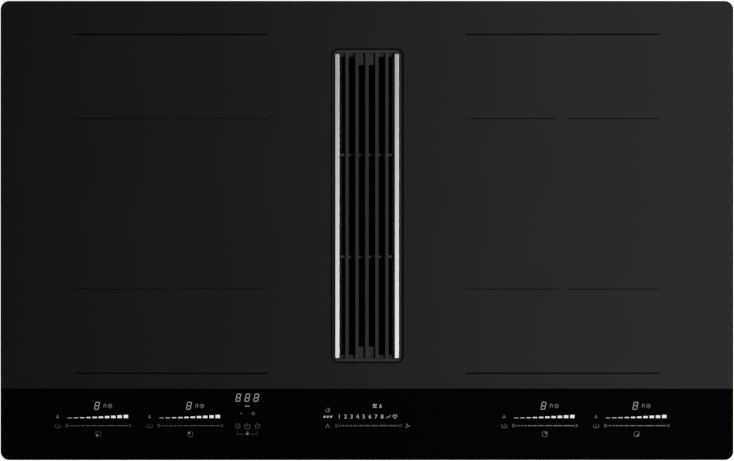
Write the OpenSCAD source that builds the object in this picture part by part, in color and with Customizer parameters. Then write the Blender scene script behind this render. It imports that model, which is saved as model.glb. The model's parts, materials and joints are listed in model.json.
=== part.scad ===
/* [Glass plate] */
// Width of the glass plate, left to right
glass_w = 830; // [815:5:900]
// Depth of the glass plate, front to back
glass_d = 520; // [510:2:540]
// Thickness of the glass plate
glass_t = 4; // [3:0.5:6]
// Corner radius of the glass plate
glass_r = 10; // [4:1:16]
// Bevel ground on the upper edges of the glass
glass_bevel = 0.8; // [0.3:0.1:1.2]
// Thickness of the foam seal between glass and worktop
seal_t = 2; // [1:0.5:3]
// Width of the foam seal
seal_w = 8; // [5:0.5:9]
// Distance of the foam seal from the edge of the glass
seal_inset = 2; // [1:0.5:3]
// Depth of the control strip along the front edge
strip_d = 81; // [76:1:86]

/* [Worktop cut-out] */
// Overhang of the glass past the cut-out, on the left and on the right
overhang_x = 25; // [20:1:30]
// Overhang of the glass past the cut-out, at the front and at the back
overhang_y = 15; // [13:0.5:18]
// Clearance between the casing and the cut-out, on each side
cutout_gap = 5; // [4:0.5:7]

/* [Intake well] */
// Width of the opening in the glass
well_w = 82; // [80:1:90]
// Distance of the opening's front end behind the front of the cooking zones
well_front = 12.2; // [8:0.1:20]
// Distance of the opening's back end ahead of the back of the cooking zones
well_rear = 16.2; // [10:0.1:24]
// Corner radius of the opening
well_r = 8; // [7:0.5:10]
// Width of the ledge that carries the removable pieces
ledge_w = 4.5; // [4:0.25:5]
// Wall of the moulded collar
collar_wall = 2.5; // [2:0.25:3]
// Width of the collar's flange under the glass
collar_flange = 9; // [7:0.5:12]
// Sliding clearance between the nested removable pieces
nest_gap = 0.5; // [0.3:0.05:0.8]

/* [Grille] */
// Gap between the grille and the opening in the glass
grille_gap = 1.5; // [1:0.25:2]
// Height of the grille's face above the glass
grille_proud = 0.5; // [0:0.25:1.5]
// Thickness of the grille's frame
grille_bar_t = 3; // [2.5:0.25:4]
// Width of the end bars
end_bar_w = 3.3; // [3:0.1:6]
// Width of the flange outside each bright rail
flange_w = 2.9; // [2:0.1:3.5]
// Width of a bright rail
rail_w = 5.5; // [4.5:0.25:6]
// Height of a bright rail
rail_h = 3.6; // [2:0.1:4]
// Number of slats
slat_count = 5; // [3:1:6]
// Width of a slat
slat_w = 3.8; // [3:0.1:4.5]
// Depth of a slat
slat_depth = 14; // [12:0.5:17]
// Diameter of the cross rods
rod_d = 3.4; // [2.5:0.1:4]

/* [Grease filter and basin] */
// Depth of the grease filter under its rim
filter_depth = 106; // [100:1:112]
// Thickness of a filter panel
mesh_t = 4; // [3:0.25:5]
// Length of the finger grips
grip_len = 9.5; // [8:0.5:12]
// Depth of the drip basin under the ledge
basin_depth = 126; // [122:1:132]
// Wall of the drip basin
basin_wall = 1.5; // [1.2:0.1:2]
// Number of air windows along each side of the basin
basin_windows = 3; // [3:1:7]

/* [Cooking zones] */
// Width of one cooking zone
zone_w = 219; // [210:1:222]
// Distance of the zones from the side edge of the glass
zone_side = 83.5; // [80:0.5:90]
// Distance of the zones from the control strip
zone_front = 17; // [15:0.5:20]
// Distance of the zones from the back edge of the glass
zone_rear = 38; // [35:0.5:42]

/* [Induction casing] */
// Depth of the sheet-steel casing below the worktop
pan_depth = 55; // [53:1:60]
// Thickness of the sheet steel
sheet_t = 1; // [0.8:0.1:1.5]
// Number of turns in a coil
coil_turns = 11; // [8:1:13]
// Pitch of the turns
coil_pitch = 6; // [5:0.25:6]
// Height of the litz winding
winding_h = 4; // [3:0.5:5]
// Side of a cooling fan
fan_side = 70; // [64:1:71]
// Distance of each pair of slider controls outside the middle of the zones
slider_shift = 31; // [26:1:34]
// Distance between the two slider controls of a pair
slider_pitch = 104; // [96:1:108]

/* [Extractor] */
// Depth of the whole appliance below the worktop
body_depth = 202; // [196:1:215]
// Wall of the plastic casing
plenum_wall = 2.5; // [2:0.25:3]
// Air passage between the well and the casing's left wall
side_passage = 81; // [70:1:90]
// Clearance between the casing and the right cooling fan's guard
guard_gap = 3.5; // [2:0.5:8]
// Width of the flat duct
duct_w = 222; // [216:1:226]
// Height of the flat duct
duct_h = 89; // [86:1:92]
// Length of the duct spigot
spigot_len = 34; // [30:1:36]
// Outer radius of the fan wheel
wheel_r = 75; // [70:1:77]
// Number of blades on the fan wheel
blade_count = 40; // [30:1:44]
// Height of the liquid collector
collector_h = 28; // [20:1:34]
// Width of the liquid collector
collector_w = 89; // [70:1:100]
// Length of the liquid collector
collector_d = 239; // [200:1:260]

/* [Hidden] */
$fn = 48;

// Length by which a cutter runs past the face that it cuts
past = 1;
// Clearance of a screw in its hole, on the radius
screw_gap = 0.2;
// Clearance between pieces that lie side by side
side_gap = 0.5;
// Clearance of a turning pin in its bore, on the radius
pin_gap = 0.05;
// Thin line of air between cylindrical faces of one body
seat_gap = 0.1;

// Heights, counted from the worktop's surface
glass_z = seal_t;
glass_top_z = glass_z + glass_t;
grille_top_z = glass_top_z + grille_proud;
grille_base_z = grille_top_z - grille_bar_t;
pad_t = 0.5;
rim_t = 2.5;
filter_rim_z = grille_base_z - pad_t - rim_t;
ledge_z = filter_rim_z - rim_t;
ledge_t = 2;
pan_z = -pan_depth;
pan_floor_z = pan_z + sheet_t;
cover_t = 2.5;
cover_z = pan_z - cover_t;
base_z = -body_depth;
base_rib_h = 5;
floor_t = 3;
floor_z = base_z + base_rib_h;
floor_top_z = floor_z + floor_t;

// The cooking zones on the glass
zone_d = (glass_d - strip_d - zone_front - zone_rear) / 2;
zone_x = glass_w / 2 - zone_side - zone_w / 2;
zone_y = strip_d + zone_front + zone_d - glass_d / 2;

// The casing in the cut-out
pan_w = glass_w - 2 * overhang_x - 2 * cutout_gap;
pan_d = glass_d - 2 * overhang_y - 2 * cutout_gap;
pan_r = 12;
pan_flange = 6;
vent_slot_w = 30;
vent_slot_h = 4;
vent_slots = 12;
vent_pitch = 50;
vent_z = -28;

// The well and what nests in it
well_d = 2 * zone_d - well_front - well_rear;
well_y = zone_y + (well_front - well_rear) / 2;
gasket_t = 0.8;
collar_flange_t = 2;
bore_w = well_w - 2 * ledge_w;
bore_d = well_d - 2 * ledge_w;
bore_r = well_r - ledge_w;
shaft_w = bore_w + 2 * collar_wall;
shaft_d = bore_d + 2 * collar_wall;
shaft_r = bore_r + collar_wall;
collar_z = cover_z - 2.5;
basin_w = bore_w - 2 * nest_gap;
basin_d = bore_d - 2 * nest_gap;
basin_r = bore_r - nest_gap;
basin_z = ledge_z - basin_depth;
filter_w = basin_w - 2 * basin_wall - 2 * nest_gap;
filter_d = basin_d - 2 * basin_wall - 2 * nest_gap;
filter_r = 1;
filter_wall = 1;
filter_end_t = 1.7;
filter_z = filter_rim_z - filter_depth;
basket_w = filter_w - 2 * filter_wall;
basket_d = filter_d - 2 * filter_end_t;
filter_floor_t = 1.2;
filter_windows = 4;
filter_post = 6;
filter_band = 10;
mesh_gap = 1;
mesh_rows = 5;
mesh_columns = 26;
mesh_margin = 5;
mesh_bar = 1.8;
grip_w = 20;
basin_post = 8;
basin_sump = 24;
window_sill = 2;

// The grille
grille_w = well_w - 2 * grille_gap;
grille_d = well_d - 2 * grille_gap;
grille_r = well_r - grille_gap;
rail_x = grille_w / 2 - flange_w - rail_w / 2;
rail_len = grille_d - 2 * end_bar_w;
rail_seat = 1;
rail_chamfer = 0.4;
slat_pitch = 2 * rail_x / (slat_count + 1);
slat_setback = grip_len + 6;
slat_taper = 10;
slat_z = grille_top_z - slat_depth;
window_x = rail_x - rail_w / 2;
rod_drop = 9.4;
rod_z = grille_top_z - rod_drop;
rod_end_drop = 4.2;
rod_end_z = grille_top_z - rod_end_drop;
rods = 2;
skirt_t = 1.2;
skirt_z = rod_z - rod_d / 2;
pad_w = 12;
pad_inset = 8;

// Cooking zones
zone_sides = [-1, 1];
zone_rows = [-1, 1];
mica_t = 0.6;
former_t = 2.4;
ferrite_h = 4;
plate_t = 1.5;
winding_top_z = glass_z - mica_t;
winding_z = winding_top_z - winding_h;
former_z = winding_z - former_t;
ferrite_z = former_z - ferrite_h;
plate_z = ferrite_z - plate_t;
litz_w = 4.6;
former_w = zone_w - 13;
former_d = zone_d - 6;
former_r = 60;
former_edge = 4;
coil_r = former_d / 2 - former_edge;
coil_stretch = (former_w - former_d) / former_d;
coil_step = 15;
ferrite_w = 14;
ferrite_start = 24;
ferrite_len = coil_r - ferrite_start - 7;
ferrites = 8;
coil_plate_w = zone_w + 5;
coil_plate_d = 2 * zone_d + 12;
sensor_r = 5;
sensor_hole_r = 9;
sensor_flange_r = 11;
sensor_flange_t = 1;
post_r = 5;
post_inset_x = 8;
post_inset_y = 8;

// Electronics
tray_w = 168;
tray_d = 236;
tray_t = 2;
tray_x = zone_x - 7;
tray_y = zone_y + 20;
standoff_h = 8;
standoff_r = 4;
board_t = 1.6;
board_w = tray_w - 8;
board_d = tray_d - 10;
board_z = pan_floor_z + standoff_h;
board_top_z = board_z + board_t;
sink_w = 36;
sink_d = 160;
sink_h = 24;
sink_fins = 9;
sink_fin_t = 1.6;
sink_foot = 4;
fan_x = pan_w / 2 - sheet_t - fan_side / 2 - 1;
fan_post_gap = 10;
fan_y = zone_y - coil_plate_d / 2 + post_inset_y + post_r + fan_post_gap + fan_side / 2;
fan_h = 15;
fan_bore_r = fan_side / 2 - 2;
fan_hub_r = 13;
fan_blades = 7;
fan_tip_gap = 1;
fan_pin_r = 1.5;
fan_strut_w = 5;
fan_strut_h = 3;
guard_t = 2.5;
guard_r = fan_side / 2 - 0.5;
guard_rings = 4;
guard_bar = 2;
carrier_side = 23;
carrier_front = 26.5;
carrier_rear = 4.5;
carrier_w = pan_w - 2 * carrier_side;
carrier_d = strip_d - carrier_front - carrier_rear;
carrier_h = 9;
carrier_wall = 2;
carrier_cells = 7;
carrier_y = carrier_front + carrier_d / 2 - glass_d / 2;
touch_board_t = 1.6;
touch_z = glass_z - carrier_h - touch_board_t;
leg_w = 10;
display_h = 6;
slider_x = zone_x + slider_shift;
timer_x = -136;
timer_w = 34;
fan_digits_x = -7;
fan_digits_w = 60;
slider_digit_w = 14;
displays = concat(
    [for (side = [-1, 1], end = [-1, 1])
        [side * slider_x + end * slider_pitch / 2, slider_digit_w]],
    [[timer_x, timer_w], [fan_digits_x, fan_digits_w]]
);
display_y = carrier_y + 9;
display_d = 16;
terminal_w = 70;
terminal_d = 32;
terminal_h = 22;
terminal_side = 39;
terminal_x = terminal_side - pan_w / 2;
terminal_y = 95;
gland_x = terminal_x;
gland_rear = 75;
gland_y = pan_d / 2 - gland_rear;
gland_bore_r = 7;
gland_r = 10;
gland_nut_r = 14;
gland_len = 16;
gland_flange_t = 3;

// Side springs and bracket holes
spring_y = 100;
spring_w = 14;
spring_t = 0.8;
spring_top_z = -8;
spring_len = 36;
spring_bulge = cutout_gap + 2;
screw_r = 2;
head_r = 3.6;
head_h = 2;
screw_tip = 1.5;
bracket_hole_r = 2.25;
bracket_pitch = 300;
bracket_z = -30;

// The fan scroll, seen from above: it opens towards the rear
duct_t = 2;
wheel_y = 20;
tongue_gap = 9;
tongue_angle = 125;
scroll_start_r = wheel_r + tongue_gap;
scroll_end_r = wheel_r + 34;
scroll_growth = ln(scroll_end_r / scroll_start_r) / (360 - tongue_angle);
scroll_steps = 24;
plenum_x0 = -shaft_w / 2 - side_passage;
spigot_ear = 12;
spigot_side = 3;
plenum_x1 = fan_x - guard_r - guard_gap;
wheel_x = plenum_x1 - spigot_side - spigot_ear - duct_t - scroll_end_r;
plenum_front = 17.2;
plenum_rear = 7.7;
plenum_y0 = well_y - shaft_d / 2 - plenum_front;
plenum_y1 = well_y + shaft_d / 2 + plenum_rear;
plenum_w = plenum_x1 - plenum_x0;
plenum_d = plenum_y1 - plenum_y0;
plenum_cx = (plenum_x0 + plenum_x1) / 2;
plenum_cy = (plenum_y0 + plenum_y1) / 2;
plenum_r = 6;
base_rib_y = 105;
wall_rib_pitch = 55;
wall_rib_w = 2.5;
wall_rib_t = 1.5;
wall_rib_inset = 4;
front_ribs = [-3, -2, -1, 0, 1, 2, 3];
side_ribs = [-2, -1, 0, 1, 2];
case_side_ribs = [-2, 2];
ear_r = 5;
ear_t = 4;
ear_reach = 4.5;
front_ears = [-140, 140];
left_ears = [-130, 130];
right_ears = [-60, 140];
rear_ears = [40, 140];
ears = concat(
    [for (x = front_ears) [plenum_cx + x, plenum_y0, -90]],
    [for (y = left_ears) [plenum_x0, plenum_cy + y, 180]],
    [for (y = right_ears) [plenum_x1, plenum_cy + y, 0]],
    [for (x = rear_ears) [plenum_x0 + x, plenum_y1, 90]]
);
throat_y = plenum_y1 - plenum_wall - 3;
scroll_right = wheel_x + scroll_end_r;
throat_w = duct_w - 2 * duct_t;
scroll_left = scroll_right - throat_w;
duct_x = scroll_right - throat_w / 2;
scroll_top_z = cover_z;
scroll_bottom_z = scroll_top_z - duct_h;
scroll_split_z = scroll_top_z - duct_h / 2;
duct_z = scroll_split_z;
tongue = [
    wheel_x + scroll_start_r * cos(tongue_angle),
    wheel_y + scroll_start_r * sin(tongue_angle)
];
eye_r = wheel_r - 11;
mouth_r = wheel_r - 13;
mouth_lip_r = eye_r + 8;
mouth_t = 2;
lug_r = 6;
lug_t = 4;
lug_reach = 6;
top_lugs = [175, 230, 300];
split_lugs = [205, 265];

// The motor hangs from the scroll's upper half
stator_flange_r = 44;
stator_flange_t = 3;
stator_flange_z = scroll_top_z - duct_t - stator_flange_t;
stator_tube_r = 11;
stator_r = 33;
stator_h = 24;
stator_slots = 12;
bearing_r = 8;
bearing_h = 6;
shaft_rad = 4;
rotor_r = 40;
rotor_wall = 3;
rotor_vents = 6;
rotor_vent_r = 5;
magnet_t = 2.8;
magnets = 8;
rotor_top_z = stator_flange_z - 5;
rotor_h = 40;
rotor_z = rotor_top_z - rotor_h;
stator_z = rotor_top_z - 6 - stator_h;
tube_z = stator_z - 5;
wheel_plate_t = 2;
wheel_plate_z = rotor_top_z - 6;
rotor_rim_r = rotor_r + 4;
wheel_ring_z = scroll_bottom_z + 10;
wheel_ring_t = 2;
blade_inner_r = wheel_r - 11;
blade_sweep = 13;
blade_t = 1.2;
motor_screw_r = 38;
motor_screws = 3;

// The duct spigot and its flap
spigot_flange_t = 3;
spigot_y1 = throat_y + spigot_len;
spigot_screws = [
    for (side = [-1, 1], level = [-1, 1])
        [duct_x + side * (duct_w + spigot_ear) / 2, duct_z + level * duct_h / 4]
];
flap_axis_y = plenum_y1 + 6;
flap_axis_z = scroll_top_z - duct_t - 4.5;
flap_pin_r = 1.5;
flap_barrel_r = 3;
flap_t = 1.6;
flap_gap = 1;
flap_w = throat_w - 2 * flap_gap;
flap_ribs = 5;
flap_rib_t = 1.5;
flap_stop_h = 3;
flap_stop_t = 2;
flap_stop_gap = 0.3;

// The liquid collector
collector_wall = 1.8;
collector_r = 4;
collector_gap = 0.5;
collector_lip = 6;
collector_lip_t = 2;
collector_seal_t = 1.5;
collector_top_z = floor_z - collector_seal_t - collector_lip_t + collector_h;
coaming_t = 2.5;
coaming_h = 12;

// The motor's driver case
driver_w = 100;
driver_d = 150;
driver_post_in = 12;
driver_post_r = 3;
driver_post_h = 5;
driver_can_x = 20;
driver_can_r = 12;
driver_can_h = 24;
driver_sink_w = 60;
driver_sink_d = 34;
driver_sink_h = 18;
driver_sink_y = 50;
driver_h = 40;
driver_wall = 2;
driver_r = 6;
driver_x = plenum_x0 - side_gap - driver_w / 2;
driver_y = 10;
driver_ear_x = 35;
driver_ear_y = driver_d / 2 + ear_reach;

// A rectangle with round corners
module rounded(w, d, r) {
    square([w - 2 * r, d], center = true);
    square([w, d - 2 * r], center = true);
    for (x = [-1, 1], y = [-1, 1])
        translate([x * (w / 2 - r), y * (d / 2 - r)]) circle(r);
}

// A flat slab with round corners between two heights
module slab(w, d, r, z0, z1) {
    translate([0, 0, z0]) linear_extrude(z1 - z0) rounded(w, d, r);
}

// A slab whose upright edges lean in by b between two heights
module leaning_slab(w, d, r, b, z0, z1) {
    h = z1 - z0;
    translate([0, 0, z0]) {
        translate([0, d / 2 - r, 0]) rotate([90, 0, 0]) linear_extrude(d - 2 * r)
            polygon([[-w / 2, 0], [w / 2, 0], [w / 2 - b, h], [b - w / 2, h]]);
        translate([r - w / 2, 0, 0]) rotate([90, 0, 90]) linear_extrude(w - 2 * r)
            polygon([[-d / 2, 0], [d / 2, 0], [d / 2 - b, h], [b - d / 2, h]]);
        for (x = [-1, 1], y = [-1, 1])
            translate([x * (w / 2 - r), y * (d / 2 - r), 0]) cylinder(r1 = r, r2 = r - b, h = h);
    }
}

// A box given by its lowest and highest corners
module block(low, high) {
    translate(low) cube([high[0] - low[0], high[1] - low[1], high[2] - low[2]]);
}

// A pan-head screw that points up, its head below the height z
module screw(x, y, z, len) {
    translate([x, y, z - head_h]) cylinder(r = head_r, h = head_h);
    translate([x, y, z]) cylinder(r = screw_r, h = len);
}

// A clearance hole for a screw, cut through what lies between two heights
module screw_hole(z0, z1) {
    translate([0, 0, z0 - past]) cylinder(r = screw_r + screw_gap, h = z1 - z0 + 2 * past);
}

// Places its children at the well's centre
module at_well() {
    translate([0, well_y, 0]) children();
}

module glass_top() {
    color([0.12, 0.12, 0.13]) difference() {
        union() {
            slab(glass_w, glass_d, glass_r, glass_z, glass_top_z - glass_bevel);
            leaning_slab(glass_w, glass_d, glass_r, glass_bevel, glass_top_z - glass_bevel, glass_top_z);
        }
        at_well() {
            slab(well_w, well_d, well_r, glass_z - past, glass_top_z + past);
            leaning_slab(well_w, well_d, well_r, -glass_bevel, glass_top_z - glass_bevel, glass_top_z);
        }
    }
}

module worktop_seal() {
    w = glass_w - 2 * seal_inset;
    d = glass_d - 2 * seal_inset;
    r = max(glass_r - seal_inset, 1);
    color([0.2, 0.2, 0.2]) difference() {
        slab(w, d, r, 0, seal_t);
        slab(w - 2 * seal_w, d - 2 * seal_w, max(r - seal_w, 1), -past, seal_t + past);
    }
}

module collar_gasket() {
    color([0.15, 0.15, 0.15]) at_well() difference() {
        slab(well_w + 2 * collar_flange, well_d + 2 * collar_flange, well_r + collar_flange,
            glass_z - gasket_t, glass_z);
        slab(well_w + 2, well_d + 2, well_r + 1, glass_z - gasket_t - past, glass_z + past);
    }
}

module intake_collar() {
    top = glass_z - gasket_t;
    color([0.06, 0.06, 0.06]) at_well() difference() {
        union() {
            slab(well_w + 2 * collar_flange, well_d + 2 * collar_flange, well_r + collar_flange,
                top - collar_flange_t, top);
            slab(well_w + 2 * collar_wall, well_d + 2 * collar_wall, well_r + collar_wall,
                ledge_z - ledge_t, top);
            slab(shaft_w, shaft_d, shaft_r, collar_z, ledge_z);
        }
        slab(well_w, well_d, well_r, ledge_z, top + past);
        slab(bore_w, bore_d, bore_r, collar_z - past, ledge_z + past);
    }
}

// One slat: full depth in the middle, thin and tapered at its ends, over the finger grips
module slat() {
    half = rail_len / 2;
    deep = half - slat_setback;
    profile = [
        [-half - end_bar_w / 2, grille_top_z], [-half - end_bar_w / 2, grille_base_z],
        [-deep, grille_base_z], [slat_taper - deep, slat_z],
        [deep - slat_taper, slat_z], [deep, grille_base_z],
        [half + end_bar_w / 2, grille_base_z], [half + end_bar_w / 2, grille_top_z]
    ];
    translate([-slat_w / 2, 0, 0]) rotate([90, 0, 90]) linear_extrude(slat_w) polygon(profile);
}

module grille_casting() {
    color([0.2, 0.2, 0.21]) at_well() union() {
        difference() {
            slab(grille_w, grille_d, grille_r, grille_base_z, grille_top_z);
            translate([-window_x, -rail_len / 2, grille_base_z - past])
                cube([2 * window_x, rail_len, grille_bar_t + 2 * past]);
            for (side = [-1, 1])
                translate([side * rail_x - rail_w / 2, -rail_len / 2, grille_top_z - rail_seat])
                    cube([rail_w, rail_len, rail_seat + past]);
        }
        for (i = [1:slat_count])
            translate([i * slat_pitch - rail_x, 0, 0]) slat();
        for (side = [-1, 1]) {
            x = side * (window_x + skirt_t / 2);
            block([x - skirt_t / 2, slat_setback - rail_len / 2, skirt_z],
                [x + skirt_t / 2, rail_len / 2 - slat_setback, grille_base_z + past]);
        }
        for (i = [1:rods])
            translate([-window_x - skirt_t / 2, rail_len * (i / (rods + 1) - 1 / 2), 0]) {
                translate([0, 0, rod_z]) rotate([0, 90, 0]) cylinder(d = rod_d, h = 2 * window_x + skirt_t);
                for (x = [0, 2 * window_x + skirt_t / 2 - slat_pitch])
                    translate([x, 0, rod_end_z]) rotate([0, 90, 0])
                        cylinder(d = rod_d, h = slat_pitch + skirt_t / 2);
            }
    }
}

// A bright rail that lies in the casting's seat, with its upper edges broken
module grille_rail(side) {
    w = rail_w - 2 * seat_gap;
    profile = [
        [-w / 2, 0], [w / 2, 0], [w / 2, rail_h - rail_chamfer], [w / 2 - rail_chamfer, rail_h],
        [rail_chamfer - w / 2, rail_h], [-w / 2, rail_h - rail_chamfer]
    ];
    color([0.8, 0.8, 0.81]) at_well()
        translate([side * rail_x, rail_len / 2 - seat_gap, grille_top_z - rail_seat])
            rotate([90, 0, 0]) linear_extrude(rail_len - 2 * seat_gap) polygon(profile);
}

module grille_pads() {
    color([0.1, 0.1, 0.1]) at_well()
        for (x = [-1, 1], y = [-1, 1])
            translate([x * (grille_w / 2 - pad_inset - pad_w / 2),
                    y * (grille_d / 2 - end_bar_w / 2 - 0.5), grille_base_z - pad_t / 2])
                cube([pad_w, end_bar_w - 1, pad_t], center = true);
}

module filter_frame() {
    window_len = (basket_d - filter_post * (filter_windows + 1)) / filter_windows;
    color([0.55, 0.55, 0.56]) at_well() {
        difference() {
            union() {
                slab(grille_w, grille_d, grille_r, filter_rim_z, filter_rim_z + rim_t);
                slab(filter_w, filter_d, filter_r, filter_z, filter_rim_z);
            }
            block([-basket_w / 2, -basket_d / 2, filter_z + filter_floor_t],
                [basket_w / 2, basket_d / 2, filter_rim_z + rim_t + past]);
            for (i = [0:filter_windows - 1]) {
                y = filter_post - basket_d / 2 + i * (window_len + filter_post);
                block([-filter_w, y, filter_z + filter_band],
                    [filter_w, y + window_len, filter_rim_z - filter_band]);
            }
        }
        for (end = [-1, 1])
            translate([0, end * (basket_d / 2 - grip_len / 2 + past / 2), filter_rim_z + rim_t / 2])
                cube([grip_w, grip_len + past, rim_t], center = true);
    }
}

// A filter panel of stamped metal, with rows of diamond openings
module filter_mesh(side) {
    len = basket_d - 2 * mesh_gap;
    z0 = filter_z + filter_floor_t;
    z1 = filter_rim_z - filter_band + mesh_gap;
    pitch_y = (len - 2 * mesh_margin) / mesh_columns;
    pitch_z = (z1 - z0 - 2 * mesh_margin) / mesh_rows;
    diamond = [
        [mesh_bar / 2 - pitch_y / 2, 0], [0, mesh_bar / 2 - pitch_z / 2],
        [pitch_y / 2 - mesh_bar / 2, 0], [0, pitch_z / 2 - mesh_bar / 2]
    ];
    color([0.62, 0.62, 0.63]) at_well()
        translate([side * (basket_w / 2 - mesh_t / 2) - mesh_t / 2, 0, 0]) rotate([90, 0, 90])
            linear_extrude(mesh_t) difference() {
                translate([-len / 2, z0]) square([len, z1 - z0]);
                for (i = [0:mesh_columns - 1], j = [0:mesh_rows - 1])
                    translate([(i + 0.5) * pitch_y - len / 2 + mesh_margin,
                            z0 + mesh_margin + (j + 0.5) * pitch_z])
                        polygon(diamond);
            }
}

module drip_basin() {
    inner_w = basin_w - 2 * basin_wall;
    inner_d = basin_d - 2 * basin_wall;
    window_len = (inner_d - basin_post * (basin_windows + 1)) / basin_windows;
    color([0.08, 0.08, 0.085]) at_well() difference() {
        union() {
            slab(well_w - 2 * nest_gap, well_d - 2 * nest_gap, well_r - nest_gap,
                ledge_z, ledge_z + rim_t);
            slab(basin_w, basin_d, basin_r, basin_z, ledge_z);
        }
        slab(inner_w, inner_d, max(basin_r - basin_wall, 1), basin_z + basin_wall, ledge_z + rim_t + past);
        for (i = [0:basin_windows - 1]) {
            y = basin_post - inner_d / 2 + i * (window_len + basin_post);
            block([-basin_w, y, basin_z + basin_sump],
                [basin_w, y + window_len, collar_z - window_sill]);
        }
    }
}

// A hole of radius r through a side wall of the casing
module wall_hole(side, y, z, r) {
    translate([side * (pan_w / 2 + past), y, z]) rotate([0, -side * 90, 0])
        cylinder(r = r, h = sheet_t + 2 * past);
}

module hob_pan() {
    color([0.62, 0.63, 0.65]) difference() {
        slab(pan_w, pan_d, pan_r, pan_z, glass_z);
        slab(pan_w - 2 * sheet_t, pan_d - 2 * sheet_t, pan_r - sheet_t, pan_floor_z, glass_z - sheet_t);
        slab(pan_w - 2 * pan_flange, pan_d - 2 * pan_flange, pan_r - pan_flange,
            glass_z - sheet_t - past, glass_z + past);
        at_well() slab(shaft_w + 2 * side_gap, shaft_d + 2 * side_gap, shaft_r + side_gap,
            pan_z - past, pan_floor_z + past);
        for (i = [0:vent_slots - 1])
            translate([(i - (vent_slots - 1) / 2) * vent_pitch - vent_slot_w / 2, -pan_d / 2 - past, vent_z])
                cube([vent_slot_w, sheet_t + 2 * past, vent_slot_h]);
        for (side = [-1, 1]) {
            translate([side * fan_x, fan_y, pan_z - past]) cylinder(r = fan_bore_r, h = sheet_t + 2 * past);
            for (end = [-1, 1]) {
                wall_hole(side, end * bracket_pitch / 2, bracket_z, bracket_hole_r);
                wall_hole(side, end * spring_y, spring_top_z - spring_w / 2, screw_r + screw_gap);
            }
        }
        at_ears() screw_hole(pan_z, pan_floor_z);
        for (angle = top_lugs)
            at_lug(angle) screw_hole(pan_z, pan_floor_z);
        at_driver_ears() screw_hole(pan_z, pan_floor_z);
        translate([gland_x, gland_y, pan_z - past])
            cylinder(r = gland_r + screw_gap, h = sheet_t + 2 * past);
    }
}

// A leaf spring in side view: flat under its screw, then bowed out to grip the cut-out
function leaf_x(t) = spring_bulge * (1 - cos(360 * t)) / 2;
module side_springs() {
    bow = spring_len - spring_w;
    outer = [for (t = [0:0.1:1]) [leaf_x(t) + spring_t, -spring_w - bow * t]];
    inner = [for (t = [1:-0.1:0]) [leaf_x(t), -spring_w - bow * t]];
    color([0.75, 0.75, 0.77])
        for (side = [-1, 1], end = [-1, 1])
            translate([side * pan_w / 2, end * spring_y, spring_top_z]) mirror([side < 0 ? 1 : 0, 0, 0])
                difference() {
                    translate([0, spring_w / 2, 0]) rotate([90, 0, 0]) linear_extrude(spring_w)
                        polygon(concat([[0, 0], [spring_t, 0]], outer, inner));
                    translate([-past, 0, -spring_w / 2]) rotate([0, 90, 0])
                        cylinder(r = screw_r + screw_gap, h = spring_t + 2 * past);
                }
}

module spring_screws() {
    color([0.7, 0.7, 0.72])
        for (side = [-1, 1], end = [-1, 1])
            translate([side * (pan_w / 2 + spring_t), end * spring_y, spring_top_z - spring_w / 2])
                rotate([0, -side * 90, 0]) screw(0, 0, 0, 8);
}

module mica_sheets() {
    color([0.85, 0.82, 0.7])
        for (side = zone_sides)
            translate([side * zone_x, zone_y, 0])
                slab(coil_plate_w - 8, coil_plate_d - 8, 10, winding_top_z, glass_z);
}

// A point on the coil's spiral, which is a little wider than deep
function coil_point(angle, offset) =
    let (r = coil_r - coil_pitch * angle / 360 + offset)
    [r * cos(angle) * (1 + coil_stretch * r / coil_r), r * sin(angle)];

// A coil is one unbroken flat band of litz wire, wound from the rim to the middle
module coil(side, row) {
    last = 360 * coil_turns;
    color([0.72, 0.45, 0.25])
        translate([side * zone_x, zone_y + row * zone_d / 2, winding_z]) linear_extrude(winding_h)
            polygon(concat(
                [for (a = [0:coil_step:last]) coil_point(a, 0)],
                [for (a = [last:-coil_step:0]) coil_point(a, -litz_w)]
            ));
}

module coil_formers() {
    color([0.25, 0.25, 0.26])
        for (side = zone_sides, row = zone_rows)
            translate([side * zone_x, zone_y + row * zone_d / 2, 0]) {
                difference() {
                    slab(former_w, former_d, former_r, former_z, winding_z);
                    translate([0, 0, former_z - past]) cylinder(r = sensor_hole_r, h = former_t + 2 * past);
                }
            }
}

// Heat sensors in the middle of the coils, pressed against the mica
module coil_sensors() {
    color([0.9, 0.9, 0.88])
        for (side = zone_sides, row = zone_rows)
            translate([side * zone_x, zone_y + row * zone_d / 2, 0]) {
                translate([0, 0, former_z]) cylinder(r = sensor_hole_r - seat_gap, h = former_t);
                translate([0, 0, winding_z]) cylinder(r = sensor_flange_r, h = sensor_flange_t);
                translate([0, 0, winding_z]) cylinder(r = sensor_r, h = winding_h);
            }
}

module ferrite_bars() {
    color([0.3, 0.3, 0.32])
        for (side = zone_sides, row = zone_rows, i = [0:ferrites - 1])
            translate([side * zone_x, zone_y + row * zone_d / 2, ferrite_z])
                rotate(360 * (i + 0.5) / ferrites)
                    translate([ferrite_start, -ferrite_w / 2, 0]) cube([ferrite_len, ferrite_w, ferrite_h]);
}

module coil_plate(side) {
    color([0.78, 0.79, 0.8]) translate([side * zone_x, zone_y, 0]) difference() {
        slab(coil_plate_w, coil_plate_d, 12, plate_z, ferrite_z);
        for (row = zone_rows)
            translate([0, row * zone_d / 2, plate_z - past]) cylinder(r = 14, h = plate_t + 2 * past);
    }
}

module plate_posts() {
    color([0.85, 0.85, 0.83])
        for (side = zone_sides, x = [-1, 1], y = [-1, 0, 1])
            translate([side * zone_x + x * (coil_plate_w / 2 - post_inset_x),
                    zone_y + y * (coil_plate_d / 2 - post_inset_y), pan_floor_z])
                cylinder(r = post_r, h = plate_z - pan_floor_z);
}

// Room in a tray for the tip of a screw that comes up through the floor
module tip_hole() {
    translate([0, 0, pan_floor_z - past]) cylinder(r = screw_r + 1, h = tray_t + 2 * past);
}

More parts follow.
